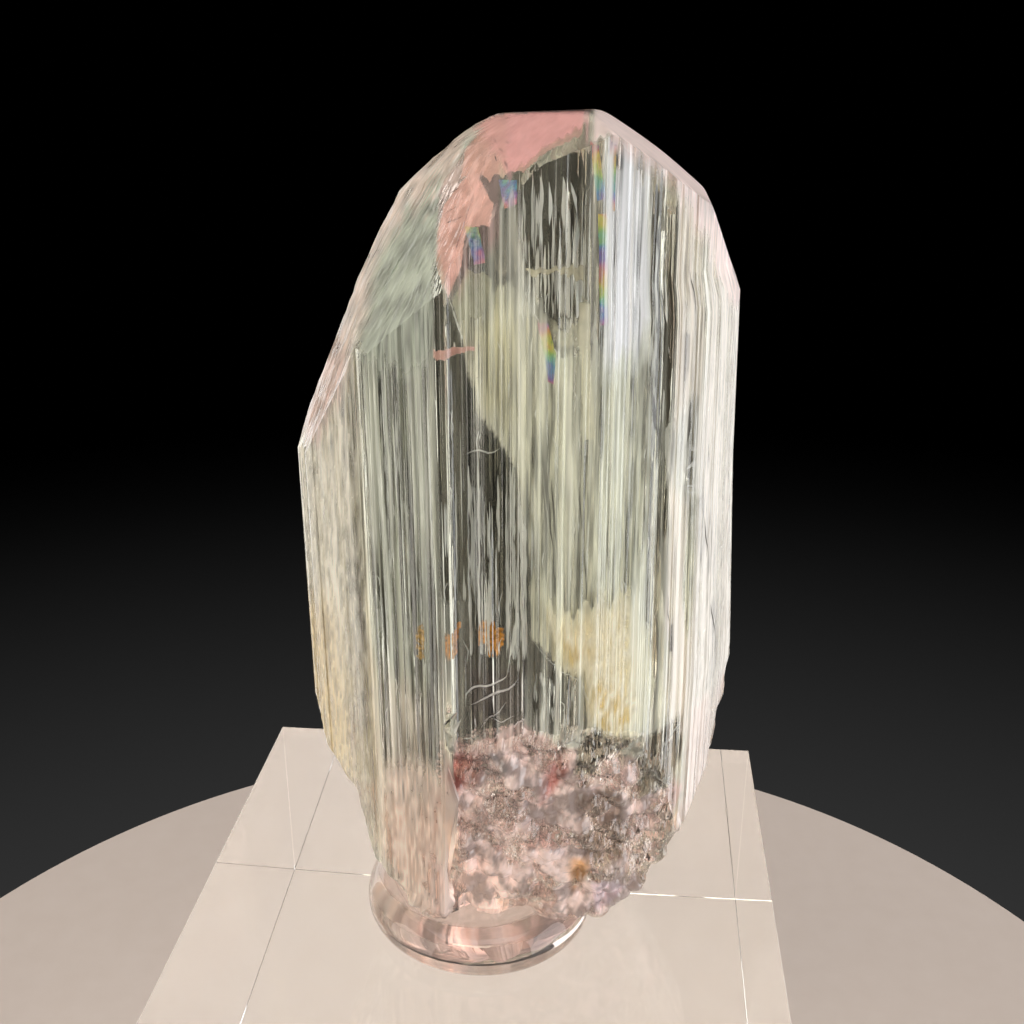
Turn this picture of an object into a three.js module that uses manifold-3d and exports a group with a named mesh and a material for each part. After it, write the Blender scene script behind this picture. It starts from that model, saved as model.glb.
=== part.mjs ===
// A spodumene crystal on its small clear acrylic display block, held by a bead of clear mounting gel.
// Millimetres, +Z up. The origin is the centre of the block's underside.
// The crystal is one striated, flattened prism with a rounded crown of growth faces and a broken foot.
import * as THREE from 'three';
import { mergeVertices } from 'three/addons/utils/BufferGeometryUtils.js';
import Module from 'manifold-3d';

const wasm = await Module();
wasm.setup();

// Display block
const BLOCK_WIDTH = 32;
const BLOCK_HEIGHT = 25;
const BLOCK_EDGE = 0.4;

// The crystal's broad face is turned a little to the block. Its own frame has x along its width,
// y from front to back and z up from the block's top face.
const CRYSTAL_TURN = THREE.MathUtils.degToRad(5.3);
const CRYSTAL_HEIGHT = 41.9;

// Plan of the prism at mid height: front faces first, left to right, then round the back.
// The short re-entrant sides are the grooves between parallel growths.
const PLAN = [
  [-8.85, 0.6], [-8.05, -1.0], [-5.9, -2.35], [-5.5, -2.2], [-5.1, -3.0], [-1.4, -4.65], [-1.1, -4.25],
  [2.0, -4.95], [5.3, -5.5], [7.7, -4.9], [8.0, -4.45], [8.5, -4.5], [10.1, -3.1], [12.35, 0.4],
  [11.4, 2.5], [8.6, 4.5], [6.1, 4.9], [5.8, 4.6], [3.0, 5.3], [-2.5, 4.9], [-6.6, 3.3],
];
// Height and sideways stretch of the half right of the axis: the prism narrows upward by ledges.
const RIGHT_LEDGES = [[-1, 1.03], [16, 1.03], [26, 0.985], [34.2, 0.965], [35.4, 0.925], [43, 0.91]];

// Striations: flat strips along the prism, each stepped a little in or out of its face.
const STRIP_WIDTH = 0.85;
const STRIP_STEP = 0.15;
const RISER_WIDTH = 0.14;
const STRIP_LEVELS = [-1, 8, 16, 26, 34.2, 35.4, 43];
const STRIP_DRIFT = 0.4;

// Crown faces: each is a plane through a point, with its rise per millimetre of x and of y.
// The front ones run up to a rounded crest just behind the middle, and the back ones fall away from it.
const CREST_Y = 1;
const CROWN = [
  { at: [-5.22, CREST_Y, 35.37], rise: [2.39, 0.8] },
  { at: [-3.28, CREST_Y, 38.71], rise: [1.72, 0.78] },
  { at: [-3.28, CREST_Y, 38.71], rise: [1.4, 1.09] },
  { at: [-0.34, CREST_Y, 41.26], rise: [0.87, 0.29] },
  { at: [0.89, CREST_Y, 41.76], rise: [0.41, 0.2] },
  { at: [4.48, -5.0, 41.17], rise: [0.47, 0.38] },
  { at: [4.5, CREST_Y, CRYSTAL_HEIGHT], rise: [0.04, -0.05] },
  { at: [8.13, CREST_Y, 40.21], rise: [-0.62, 0.06] },
  { at: [10.17, CREST_Y, 38.49], rise: [-0.84, 0.1] },
  { at: [12.13, CREST_Y, 33.76], rise: [-2.41, 0.2] },
  { at: [-5.22, CREST_Y, 35.5], rise: [2.2, -1.3] },
  { at: [-0.34, CREST_Y, 41.4], rise: [0.8, -0.8] },
  { at: [3.5, 1.8, CRYSTAL_HEIGHT], rise: [-0.05, -0.7] },
  { at: [9.4, 1.4, 39.35], rise: [-0.8, -0.9] },
  { at: [3.0, 4.2, 39.4], rise: [0.15, -2.6] },
];

// Foot: planes that the break follows, given in the same way. The crystal lies above all of them.
const FOOT = [
  { at: [0, 0, 0.85], rise: [0, 0] },
  { at: [-1.8, -3.0, 1.5], rise: [-0.75, -0.6] },
  { at: [3.0, -3.0, 1.3], rise: [0.24, -0.35] },
  { at: [-4.8, -1.5, 3.0], rise: [-1.3, -0.5] },
  { at: [-7.88, 0, 9.98], rise: [-3.3, -0.4] },
  { at: [8.25, -3.0, 3.6], rise: [0.8, -0.2] },
  { at: [9.3, -2.7, 5.7], rise: [1.65, -0.2] },
  { at: [11.3, -1.6, 9.0], rise: [2.4, -0.2] },
  { at: [12.0, -1.0, 12.0], rise: [6.0, -0.2] },
  { at: [0, 4.0, 3.4], rise: [0.1, 2.2] },
];
// Hollows in the break: each lies under both of its planes.
const HOLLOWS = [
  // the scoop out of the front, right of the striated left face
  [{ at: [1.0, -5.0, 11.6], rise: [0.12, -5.0] }, { at: [-1.5, -4.5, 6.0], rise: [16, 0] }],
  // the chipped left corner
  [{ at: [-6.9, 0, 8.4], rise: [-1.6, -0.4] }, { at: [-6.0, -0.5, 5.4], rise: [-6, -0.6] }],
];
const BREAK_PLAN = [30, 20];
const BREAK_CENTRE = 1.8;
const BREAK_CELL = 0.9;
const BREAK_LIMIT = 30;
const BREAK_ROUGHNESS = 0.28;

// Mounting gel: a squeezed bead with a rounded rim
const GEL_RADIUS = 6.4;
const GEL_SHIFT = -0.25;
const GEL_HEIGHT = 2.3;
const GEL_GAP = 0.3;
const GEL_SEGMENTS = 40;

// Cutters reach this far past the crystal.
const CUTTER_SIZE = 90;
const CUTTER_DEPTH = 8;

/** A repeatable number from 0 to 1 for a strip, a cell or a level. */
function chance(seed) {
  const s = Math.sin(seed * 12.9898 + 4.1414) * 43758.5453;
  return s - Math.floor(s);
}

function planeHeight({ at, rise }, x, y) {
  return at[2] + rise[0] * (x - at[0]) + rise[1] * (y - at[1]);
}

function between(table, z) {
  for (let i = 1; i < table.length; i += 1) {
    const [z0, v0] = table[i - 1];
    const [z1, v1] = table[i];
    if (z <= z1) return v0 + (v1 - v0) * Math.max(0, (z - z0) / (z1 - z0));
  }
  return table[table.length - 1][1];
}

/** Strip edges round the plan: the place of each, its outward normal and how proud the strip is there. */
function stripEdges() {
  const edges = [];
  let strip = 0;
  PLAN.forEach((start, i) => {
    const from = new THREE.Vector2(...start);
    const side = new THREE.Vector2(...PLAN[(i + 1) % PLAN.length]).sub(from);
    const length = side.length();
    const normal = new THREE.Vector2(side.y, -side.x).normalize();
    const count = Math.max(1, Math.round(length / STRIP_WIDTH));
    const cuts = [...Array(count + 1).keys()].map((k) => {
      const jitter = k === 0 || k === count ? 0 : 0.6 * (chance(strip + k) - 0.5);
      return ((k + jitter) / count) * length;
    });
    for (let k = 0; k < count; k += 1) {
      const proud = count === 1 ? 0 : STRIP_STEP * (chance(strip + 0.37) - 0.5) * 2;
      const tilt = count === 1 ? 0 : 0.5 * STRIP_STEP * (chance(strip + 0.71) - 0.5);
      const lead = k === 0 ? 0 : RISER_WIDTH / 2;
      const tail = k === count - 1 ? RISER_WIDTH : RISER_WIDTH / 2;
      for (const [along, step] of [[cuts[k] + lead, proud - tilt], [cuts[k + 1] - tail, proud + tilt]]) {
        edges.push({ place: from.clone().addScaledVector(side, along / length), normal, step, strip });
      }
      strip += 1;
    }
  });
  return edges;
}

/** The striated prism, taller than the crystal at both ends. */
function prismGeometry(grow) {
  const edges = stripEdges();
  const points = [];
  STRIP_LEVELS.forEach((z, level) => {
    for (const { place, normal, step, strip } of edges) {
      const drift = STRIP_DRIFT * STRIP_STEP * (chance(strip * 7.3 + level) - 0.5) * 2;
      const x = place.x + normal.x * (step + drift + grow);
      const y = place.y + normal.y * (step + drift + grow);
      points.push(x > 0 ? x * between(RIGHT_LEDGES, z) : x, y, z);
    }
  });
  const n = edges.length;
  const faces = [];
  for (let level = 0; level < STRIP_LEVELS.length - 1; level += 1) {
    for (let i = 0; i < n; i += 1) {
      const a = level * n + i;
      const b = level * n + ((i + 1) % n);
      faces.push(a, b, b + n, a, b + n, a + n);
    }
  }
  const top = (STRIP_LEVELS.length - 1) * n;
  const flat = edges.map((_, i) => new THREE.Vector2(points[3 * i], points[3 * i + 1]));
  const lid = edges.map((_, i) => new THREE.Vector2(points[3 * (top + i)], points[3 * (top + i) + 1]));
  for (const [a, b, c] of THREE.ShapeUtils.triangulateShape(flat, [])) faces.push(a, c, b);
  for (const [a, b, c] of THREE.ShapeUtils.triangulateShape(lid, [])) faces.push(top + a, top + b, top + c);
  const geometry = new THREE.BufferGeometry();
  geometry.setAttribute('position', new THREE.Float32BufferAttribute(points, 3));
  geometry.setIndex(faces);
  return geometry;
}

/** Height of the broken foot over the block at a place in the plan. */
function footHeight(x, y) {
  const heights = FOOT.map((plane) => planeHeight(plane, x, y));
  const hollows = HOLLOWS.map((pair) => Math.min(...pair.map((plane) => planeHeight(plane, x, y))));
  return Math.max(...heights, ...hollows);
}

/** Everything below the break: a slab whose upper side is the rough foot. */
function footCutter(lower) {
  const [columns, rows] = BREAK_PLAN.map((length) => Math.round(length / BREAK_CELL));
  const slab = new THREE.BoxGeometry(...BREAK_PLAN, 1, columns, rows, 1).translate(BREAK_CENTRE, 0, 0);
  slab.deleteAttribute('normal');
  slab.deleteAttribute('uv');
  const solid = mergeVertices(slab);
  const place = solid.attributes.position;
  for (let i = 0; i < place.count; i += 1) {
    const x = place.getX(i);
    const y = place.getY(i);
    const rough = BREAK_ROUGHNESS * (chance(x * 3.1 + y * 17.7) - 0.5) * 2;
    const upper = Math.min(footHeight(x, y) + rough, BREAK_LIMIT) - lower;
    place.setZ(i, place.getZ(i) > 0 ? upper : -CUTTER_DEPTH);
  }
  return solid;
}

/** Everything above one crown face. */
function crownCutter({ at, rise }, lift) {
  const normal = new THREE.Vector3(-rise[0], -rise[1], 1).normalize();
  const turn = new THREE.Quaternion().setFromUnitVectors(new THREE.Vector3(0, 0, 1), normal);
  return new THREE.BoxGeometry(CUTTER_SIZE, CUTTER_SIZE, CUTTER_SIZE)
    .translate(0, 0, CUTTER_SIZE / 2 + lift)
    .applyQuaternion(turn)
    .translate(...at);
}

function toSolid(geometry) {
  const bare = geometry.clone();
  bare.deleteAttribute('normal');
  bare.deleteAttribute('uv');
  const merged = mergeVertices(bare, 1e-5);
  return new wasm.Manifold(new wasm.Mesh({
    numProp: 3,
    vertProperties: Float32Array.from(merged.attributes.position.array),
    triVerts: Uint32Array.from(merged.index.array),
  }));
}

function toGeometry(solid) {
  const { vertProperties, triVerts } = solid.getMesh();
  const geometry = new THREE.BufferGeometry();
  geometry.setAttribute('position', new THREE.BufferAttribute(new Float32Array(vertProperties), 3));
  geometry.setIndex(new THREE.BufferAttribute(new Uint32Array(triVerts), 1));
  geometry.computeVertexNormals();
  return geometry;
}

/** The crystal, or with grow above 0 the same shape that much larger, as a tool to press its seat. */
function crystalSolid(grow) {
  let solid = toSolid(prismGeometry(grow)).subtract(toSolid(footCutter(grow)));
  for (const face of CROWN) solid = solid.subtract(toSolid(crownCutter(face, grow)));
  return solid;
}

function crystalGeometry() {
  return toGeometry(crystalSolid(0));
}

/** The gel bead: a half section from the axis over the rim, turned, with the crystal's seat pressed in. */
function gelGeometry() {
  const rim = new THREE.Path();
  const r = GEL_RADIUS;
  rim.moveTo(0, 0);
  rim.lineTo(r - 0.5, 0);
  rim.bezierCurveTo(r + 0.1, 0.1, r + 0.15, 0.8, r - 0.2, 1.4);
  rim.bezierCurveTo(r - 0.5, 2.1, r - 1.2, GEL_HEIGHT, r - 1.9, GEL_HEIGHT - 0.15);
  rim.lineTo(0, GEL_HEIGHT - 0.5);
  const bead = new THREE.LatheGeometry(rim.getPoints(5), GEL_SEGMENTS)
    .rotateX(Math.PI / 2)
    .translate(GEL_SHIFT, 0, 0);
  return toGeometry(toSolid(bead).subtract(crystalSolid(GEL_GAP)));
}

function blockGeometry() {
  const half = BLOCK_WIDTH / 2 - BLOCK_EDGE;
  const square = new THREE.Shape();
  square.moveTo(-half, -half);
  square.lineTo(half, -half);
  square.lineTo(half, half);
  square.lineTo(-half, half);
  square.closePath();
  return new THREE.ExtrudeGeometry(square, {
    depth: BLOCK_HEIGHT - 2 * BLOCK_EDGE,
    bevelSize: BLOCK_EDGE,
    bevelThickness: BLOCK_EDGE,
    bevelSegments: 1,
  }).translate(0, 0, BLOCK_EDGE);
}

function named(name, geometry, look) {
  const mesh = new THREE.Mesh(geometry, new THREE.MeshStandardMaterial(look));
  mesh.name = name;
  return mesh;
}

const block = named('acrylic_block', blockGeometry(), {
  color: '#dfe6e6', roughness: 0.05, metalness: 0, transparent: true, opacity: 0.35,
});
const crystal = named('spodumene_crystal', crystalGeometry(), {
  color: '#c9cdb9', roughness: 0.15, metalness: 0, transparent: true, opacity: 0.75, flatShading: true,
});
const gel = named('mounting_gel', gelGeometry(), {
  color: '#d9d8d2', roughness: 0.08, metalness: 0, transparent: true, opacity: 0.5,
});

const specimen = new THREE.Group();
specimen.add(crystal, gel);
specimen.position.z = BLOCK_HEIGHT;
specimen.rotation.z = CRYSTAL_TURN;

const part = new THREE.Group();
part.add(block, specimen);
export default part;
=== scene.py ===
"""A spodumene crystal standing in a bead of clear gel on a square acrylic display block."""
import math

import bpy
import numpy as np
from mathutils import Matrix, Vector


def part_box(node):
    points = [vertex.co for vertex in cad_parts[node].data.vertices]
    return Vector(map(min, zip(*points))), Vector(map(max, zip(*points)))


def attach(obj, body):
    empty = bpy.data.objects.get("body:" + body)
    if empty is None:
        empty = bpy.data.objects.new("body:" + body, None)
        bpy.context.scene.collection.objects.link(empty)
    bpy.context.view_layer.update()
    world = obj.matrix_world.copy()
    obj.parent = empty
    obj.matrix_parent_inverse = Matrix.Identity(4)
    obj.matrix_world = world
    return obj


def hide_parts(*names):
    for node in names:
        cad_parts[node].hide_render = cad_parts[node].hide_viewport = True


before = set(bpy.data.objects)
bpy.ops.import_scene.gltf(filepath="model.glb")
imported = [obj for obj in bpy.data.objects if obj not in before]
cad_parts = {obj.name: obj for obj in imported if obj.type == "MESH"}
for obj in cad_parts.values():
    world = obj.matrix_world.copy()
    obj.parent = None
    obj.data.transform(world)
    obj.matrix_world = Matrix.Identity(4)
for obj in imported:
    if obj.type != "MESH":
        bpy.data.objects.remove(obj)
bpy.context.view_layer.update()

# Camera.
# It looks down on the crystal's broad face from a little above.
MM = 0.001
CRYSTAL_TURN = math.radians(5.3)        # the broad face against the block's front
CAMERA_PLACE = (6.49, -53.73, 70.6)     # mm
CAMERA_PITCH = math.radians(22.38)
FOCAL_PX = 1200
FRAME_PX = 1024
SENSOR_MM = 36

camera_data = bpy.data.cameras.new("camera")
camera_data.sensor_width = SENSOR_MM
camera_data.lens = SENSOR_MM * FOCAL_PX / FRAME_PX
camera_data.clip_start = 0.001
camera = bpy.data.objects.new("camera", camera_data)
camera.location = Vector(CAMERA_PLACE) * MM
camera.rotation_euler = (math.pi / 2 - CAMERA_PITCH, 0, CRYSTAL_TURN)
bpy.context.scene.collection.objects.link(camera)
bpy.context.scene.camera = camera


# Floor.
# A round sheet of warm white card, matt, with a cut edge. The block stands on it.
def linear(hex_colour, alpha=1.0):
    """An sRGB hex colour as linear RGBA."""
    srgb = [int(hex_colour[i:i + 2], 16) / 255 for i in (1, 3, 5)]
    return [c / 12.92 if c <= 0.04045 else ((c + 0.055) / 1.055) ** 2.4 for c in srgb] + [alpha]


def add_node(material, kind, settings=None, **inputs):
    """Adds one node: settings are its properties, inputs are values or the sockets that feed them."""
    node = material.node_tree.nodes.new(kind)
    for name, value in (settings or {}).items():
        setattr(node, name, value)
    for name, value in inputs.items():
        key = int(name[3:]) if name.startswith("in_") else name.replace("_", " ")
        socket = node.inputs[key]
        if isinstance(value, bpy.types.NodeSocket):
            material.node_tree.links.new(value, socket)
        else:
            socket.default_value = value
    return node


def new_material(name):
    """An empty node material with its output node."""
    material = bpy.data.materials.new(name)
    material.use_nodes = True
    material.node_tree.nodes.clear()
    return material, material.node_tree.nodes.new("ShaderNodeOutputMaterial")


def finish_material(material, output, shader):
    """The material with its shader joined to the output."""
    material.node_tree.links.new(shader.outputs[0], output.inputs["Surface"])
    return material


def mesh_object(name, points, faces):
    """A linked mesh object from points in metres."""
    mesh = bpy.data.meshes.new(name)
    mesh.from_pydata([tuple(p) for p in points], [], [tuple(f) for f in faces])
    mesh.validate()
    thing = bpy.data.objects.new(name, mesh)
    bpy.context.scene.collection.objects.link(thing)
    return thing


CARD_RADIUS = 52 * MM
CARD_THICKNESS = 1.5 * MM
CARD_GAP = 0.02 * MM
CARD_COLOUR = "#d2c3b9"
CARD_SHADE = "#ccbcb1"
CARD_MOTTLE = 2 * MM
CARD_SIDES = 180


def card_material():
    """Matt card stock: an even tone with a faint fibre mottle about 2 mm across."""
    material, output = new_material("matt_card")
    place = add_node(material, "ShaderNodeTexCoord")
    mottle = add_node(material, "ShaderNodeTexNoise", Vector=place.outputs["Object"], Scale=1 / CARD_MOTTLE,
                      Detail=2.0)
    tone = add_node(material, "ShaderNodeMix", {"data_type": "RGBA"}, Factor=mottle.outputs["Fac"],
                    in_6=linear(CARD_COLOUR), in_7=linear(CARD_SHADE))
    shader = add_node(material, "ShaderNodeBsdfPrincipled", Roughness=0.85, Base_Color=tone.outputs[2])
    return finish_material(material, output, shader)


angles = [2 * math.pi * i / CARD_SIDES for i in range(CARD_SIDES)]
rim = [(CARD_RADIUS * math.cos(a), CARD_RADIUS * math.sin(a)) for a in angles]
card_points = [(x, y, -CARD_GAP) for x, y in rim] + [(x, y, -CARD_GAP - CARD_THICKNESS) for x, y in rim]
card_faces = [list(range(CARD_SIDES)), list(range(2 * CARD_SIDES - 1, CARD_SIDES - 1, -1))]
for i in range(CARD_SIDES):
    j = (i + 1) % CARD_SIDES
    card_faces.append((j, i, i + CARD_SIDES, j + CARD_SIDES))
card = mesh_object("floor", card_points, card_faces)
card.data.materials.append(card_material())

# Studio.
# A dark surround that lightens towards the table, with large soft panels at the sides, above and behind.
SURROUND_TOP = 0.0
SURROUND_LOW = 0.036
SURROUND_FROM = -0.30                   # sine of the elevation where the surround starts to lighten
SURROUND_TO = -0.72

world = bpy.data.worlds.new("studio")
world.use_nodes = True
bpy.context.scene.world = world
world.node_tree.nodes.clear()
world_out = world.node_tree.nodes.new("ShaderNodeOutputWorld")
way = add_node(world, "ShaderNodeTexCoord")
parts = add_node(world, "ShaderNodeSeparateXYZ", Vector=way.outputs["Generated"])
lift = add_node(world, "ShaderNodeMapRange", {"interpolation_type": "SMOOTHSTEP"}, Value=parts.outputs["Z"],
                From_Min=SURROUND_FROM, From_Max=SURROUND_TO, To_Min=SURROUND_TOP, To_Max=SURROUND_LOW)
glow = add_node(world, "ShaderNodeBackground", Color=(1, 1, 1, 1), Strength=lift.outputs["Result"])
world.node_tree.links.new(glow.outputs[0], world_out.inputs["Surface"])

AIM = Vector((0, 0, 45)) * MM
PANELS = {
    # name: place in mm, width and height in mm, brightness, colour. The tall ones reach below the horizon,
    # because upright faces pass on light only at the slope of the view.
    "left_panel": ((-170, -90, 40), (150, 300), 2.15, "#fffaf2"),
    "right_panel": ((180, -60, 40), (140, 300), 3.0, "#f8fbff"),
    "top_panel": ((0, 10, 260), (220, 200), 2.0, "#ffffff"),
    "front_panel": ((-30, -115, 245), (120, 34), 8.0, "#fff4e0"),
    "left_back_panel": ((-140, 130, 20), (80, 280), 2.0, "#ffffff"),
    "right_back_panel": ((150, 120, 20), (80, 280), 2.0, "#ffffff"),
}
for name, (place, size, brightness, colour) in PANELS.items():
    panel = bpy.data.lights.new(name, "AREA")
    panel.shape = "RECTANGLE"
    panel.size, panel.size_y = size[0] * MM, size[1] * MM
    panel.energy = brightness * math.pi * panel.size * panel.size_y
    panel.color = linear(colour)[:3]
    lamp = bpy.data.objects.new(name, panel)
    lamp.location = Vector(place) * MM
    lamp.rotation_euler = (AIM - lamp.location).to_track_quat("-Z", "Y").to_euler()
    lamp.visible_camera = False
    bpy.context.scene.collection.objects.link(lamp)

scene = bpy.context.scene
scene.view_settings.view_transform = "Standard"
scene.cycles.use_denoising = True
scene.cycles.max_bounces = 24
scene.cycles.transmission_bounces = 24
scene.cycles.transparent_max_bounces = 24
scene.cycles.glossy_bounces = 12
scene.cycles.sample_clamp_indirect = 8
scene.cycles.caustics_reflective = False

# Display block.
# Cast acrylic, sawn square and flame polished, which leaves its edges barely rounded. It is clear, and
# stands loose on the card, on its flat underside.
ACRYLIC_IOR = 1.49
WIPE_MARKS = 900                        # to the metre, so each is about 1.1 mm wide
BLOCK_LOW, BLOCK_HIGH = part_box("acrylic_block")


def acrylic_material():
    """Polished acrylic: clear as glass, with patches of faint haze where it has been wiped."""
    material, output = new_material("polished_acrylic")
    place = add_node(material, "ShaderNodeTexCoord")
    grain = add_node(material, "ShaderNodeTexNoise", Vector=place.outputs["Object"], Scale=WIPE_MARKS,
                     Detail=3.0)
    haze = add_node(material, "ShaderNodeMapRange", Value=grain.outputs["Fac"], From_Min=0.55, From_Max=0.8,
                    To_Min=0.01, To_Max=0.09)
    shader = add_node(material, "ShaderNodeBsdfPrincipled", Base_Color=linear("#fbfdfd"),
                      Transmission_Weight=1.0, IOR=ACRYLIC_IOR, Roughness=haze.outputs["Result"])
    return finish_material(material, output, shader)


def slab(low, high, edge, steps=4):
    """Points and faces of a block whose edges are all rounded."""
    turns = [math.pi / 2 * k / steps for k in range(steps + 1)]
    rings = []
    for side, base in ((-1, low.z + edge), (1, high.z - edge)):
        for turn in (turns[::-1] if side < 0 else turns):
            inset = edge * (1 - math.cos(turn))
            height = base + side * edge * math.sin(turn)
            ring = []
            for corner, (cx, cy) in enumerate(((1, 1), (-1, 1), (-1, -1), (1, -1))):
                x = (high.x if cx > 0 else low.x) - cx * edge
                y = (high.y if cy > 0 else low.y) - cy * edge
                for t in turns:
                    way, reach = corner * math.pi / 2 + t, edge - inset
                    ring.append((x + reach * math.cos(way), y + reach * math.sin(way), height))
            rings.append(ring)
    around = len(rings[0])
    faces = [list(range(around - 1, -1, -1)), [(len(rings) - 1) * around + i for i in range(around)]]
    for level in range(len(rings) - 1):
        for i in range(around):
            j = (i + 1) % around
            low_ring, high_ring = level * around, (level + 1) * around
            faces.append((low_ring + i, low_ring + j, high_ring + j, high_ring + i))
    return [p for ring in rings for p in ring], faces


EDGE_ROUND = 0.035 * MM
block = mesh_object("display_block", *slab(BLOCK_LOW, BLOCK_HIGH, EDGE_ROUND))
block.data.materials.append(acrylic_material())
block.visible_shadow = False
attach(block, "root")
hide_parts("acrylic_block")

# Crystal.
# One spodumene crystal, flattened and striated along its length: a prism of parallel growths under a crown
# of growth faces, over a foot where it broke from its pocket. It stands in the gel on that break.
SPODUMENE_IOR = 1.66
PLAN = [
    (-8.85, 0.6), (-8.05, -1.0), (-5.9, -2.35), (-5.5, -2.2), (-5.1, -3.0), (-1.4, -4.65), (-1.1, -4.25),
    (2.0, -4.95), (5.3, -5.5), (7.7, -4.9), (8.0, -4.45), (8.5, -4.5), (10.1, -3.1), (12.35, 0.4),
    (11.4, 2.5), (8.6, 4.5), (6.1, 4.9), (5.8, 4.6), (3.0, 5.3), (-2.5, 4.9), (-6.6, 3.3),
]
FRONT_SIDES = 13                        # the sides of the plan that face the camera
RIGHT_LEDGES = [(-1, 1.03), (16, 1.03), (26, 0.985), (34.2, 0.965), (35.4, 0.925), (43, 0.91)]
CREST_Y = 1.0
CROWN = [
    # a point in mm, and the rise per millimetre of x and of y
    ((-5.22, CREST_Y, 35.37), (2.39, 0.8)),
    ((-3.28, CREST_Y, 38.71), (1.72, 0.78)),
    ((-3.28, CREST_Y, 38.71), (1.4, 1.09)),
    ((-0.34, CREST_Y, 41.26), (0.87, 0.29)),
    ((0.89, CREST_Y, 41.76), (0.41, 0.2)),
    ((4.48, -5.0, 41.17), (0.47, 0.38)),
    ((4.5, CREST_Y, 41.9), (0.04, -0.05)),
    ((8.13, CREST_Y, 40.21), (-0.62, 0.06)),
    ((10.17, CREST_Y, 38.49), (-0.84, 0.1)),
    ((12.13, CREST_Y, 33.76), (-2.41, 0.2)),
    ((-5.22, CREST_Y, 35.5), (2.2, -1.3)),
    ((-0.34, CREST_Y, 41.4), (0.8, -0.8)),
    ((3.5, 1.8, 41.9), (-0.05, -0.7)),
    ((9.4, 1.4, 39.35), (-0.8, -0.9)),
    ((3.0, 4.2, 39.4), (0.15, -2.6)),
]
FOOT = [
    ((0, 0, 0.85), (0, 0)),
    ((-1.8, -3.0, 1.5), (-0.75, -0.6)),
    ((3.0, -3.0, 1.3), (0.24, -0.35)),
    ((-4.8, -1.5, 3.0), (-1.3, -0.5)),
    ((-7.88, 0, 9.98), (-3.3, -0.4)),
    ((8.25, -3.0, 3.6), (0.8, -0.2)),
    ((9.3, -2.7, 5.7), (1.65, -0.2)),
    ((11.3, -1.6, 9.0), (2.4, -0.2)),
    ((12.0, -1.0, 12.0), (6.0, -0.2)),
    ((0, 4.0, 3.4), (0.1, 2.2)),
]
HOLLOWS = [
    [((2.0, -4.95, 14.0), (-0.98, -6.0)), ((-1.9, -4.5, 6.0), (40, 0))],
    [((7.7, -4.9, 13.5), (1.4, -6.0))],
    [((-6.9, 0, 8.4), (-1.6, -0.4)), ((-6.0, -0.5, 5.4), (-6, -0.6))],
]
FRONT_PITCH = 0.052                     # mm between columns on the front sides
BACK_PITCH = 0.20
PRISM_ROWS = 46
CROWN_ROWS = 33
FOOT_ROWS = 77
CROWN_POLE = (3.2, CREST_Y)
FOOT_POLE = (0.6, -0.4)
CREASE = 0.10                           # mm by which the crown's and the foot's edges are rounded


def plane_height(plane, x, y):
    """The height of one growth face or break plane over a place."""
    (px, py, pz), (rise_x, rise_y) = plane
    return pz + rise_x * (x - px) + rise_y * (y - py)


def lowest(heights, soft=CREASE):
    """The lowest of several heights, with the edges between them rounded."""
    heights = np.array(heights)
    low = heights.min(axis=0)
    return low - soft * np.log(np.exp(-(heights - low) / soft).sum(axis=0))


def highest(heights, soft=CREASE):
    """The highest of several heights, with the edges between them rounded."""
    return -lowest([-h for h in heights], soft)


def crown_height(x, y):
    return lowest([plane_height(plane, x, y) for plane in CROWN])


def foot_height(x, y):
    heights = [plane_height(plane, x, y) for plane in FOOT]
    return highest(heights + [lowest([plane_height(plane, x, y) for plane in pair]) for pair in HOLLOWS])


def ledged(x, z):
    """The ledges move the right side in and out, and leave the middle alone."""
    widening = np.interp(z, *zip(*RIGHT_LEDGES)) - 1
    return np.where(x > 0, x + widening * x * (x / PLAN[FRONT_SIDES][0]) ** 2, x)


def ramp(value, low, high):
    """From 0 at low to 1 at high, with soft ends."""
    t = np.clip((value - low) / (high - low), 0, 1)
    return t * t * (3 - 2 * t)


def chance(*seeds):
    """A repeatable number from 0 to 1 for whole-number seeds."""
    mix = sum(np.asarray(s, float) * k for s, k in zip(seeds, (12.9898, 78.233, 37.719, 93.17)))
    noise = np.sin(mix + 4.1414) * 43758.5453
    return noise - np.floor(noise)


def noise(*coords, seed=0):
    """Smooth noise from -1 to 1 over two or three coordinates."""
    cells = [np.floor(c) for c in coords]
    parts = [c - f for c, f in zip(coords, cells)]
    parts = [t * t * (3 - 2 * t) for t in parts]
    total = 0
    for corner in np.ndindex(*(2,) * len(coords)):
        weight = 1
        for t, step in zip(parts, corner):
            weight = weight * (t if step else 1 - t)
        total = total + weight * chance(*[c + step for c, step in zip(cells, corner)], seed)
    return total * 2 - 1


def flakes(place, size, seed):
    """Height of a surface broken into tilted, slightly hollow flakes that meet in sharp creases."""
    place = place / size
    cell = np.floor(place)
    height = np.full(len(place), np.inf)
    for step in np.ndindex(3, 3, 3):
        near = cell + np.array(step) - 1
        middle = near + 0.2 + 0.6 * np.stack([chance(*near.T, seed + k) for k in range(3)], axis=1)
        slope = 1.4 * np.stack([chance(*near.T, seed + 3 + k) for k in range(3)], axis=1) - 0.7
        away = place - middle
        height = np.minimum(height, 0.9 * (away ** 2).sum(axis=1) + (away * slope).sum(axis=1))
    return (height - 0.25) * size


STRIPS = [
    # width, step in or out, tilt across the strip (all mm) and how long it holds its level
    (0.97, 0.090, 0.060, 60.0),
    (0.37, 0.030, 0.034, 34.0),
    (0.13, 0.010, 0.016, 16.0),
]


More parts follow.
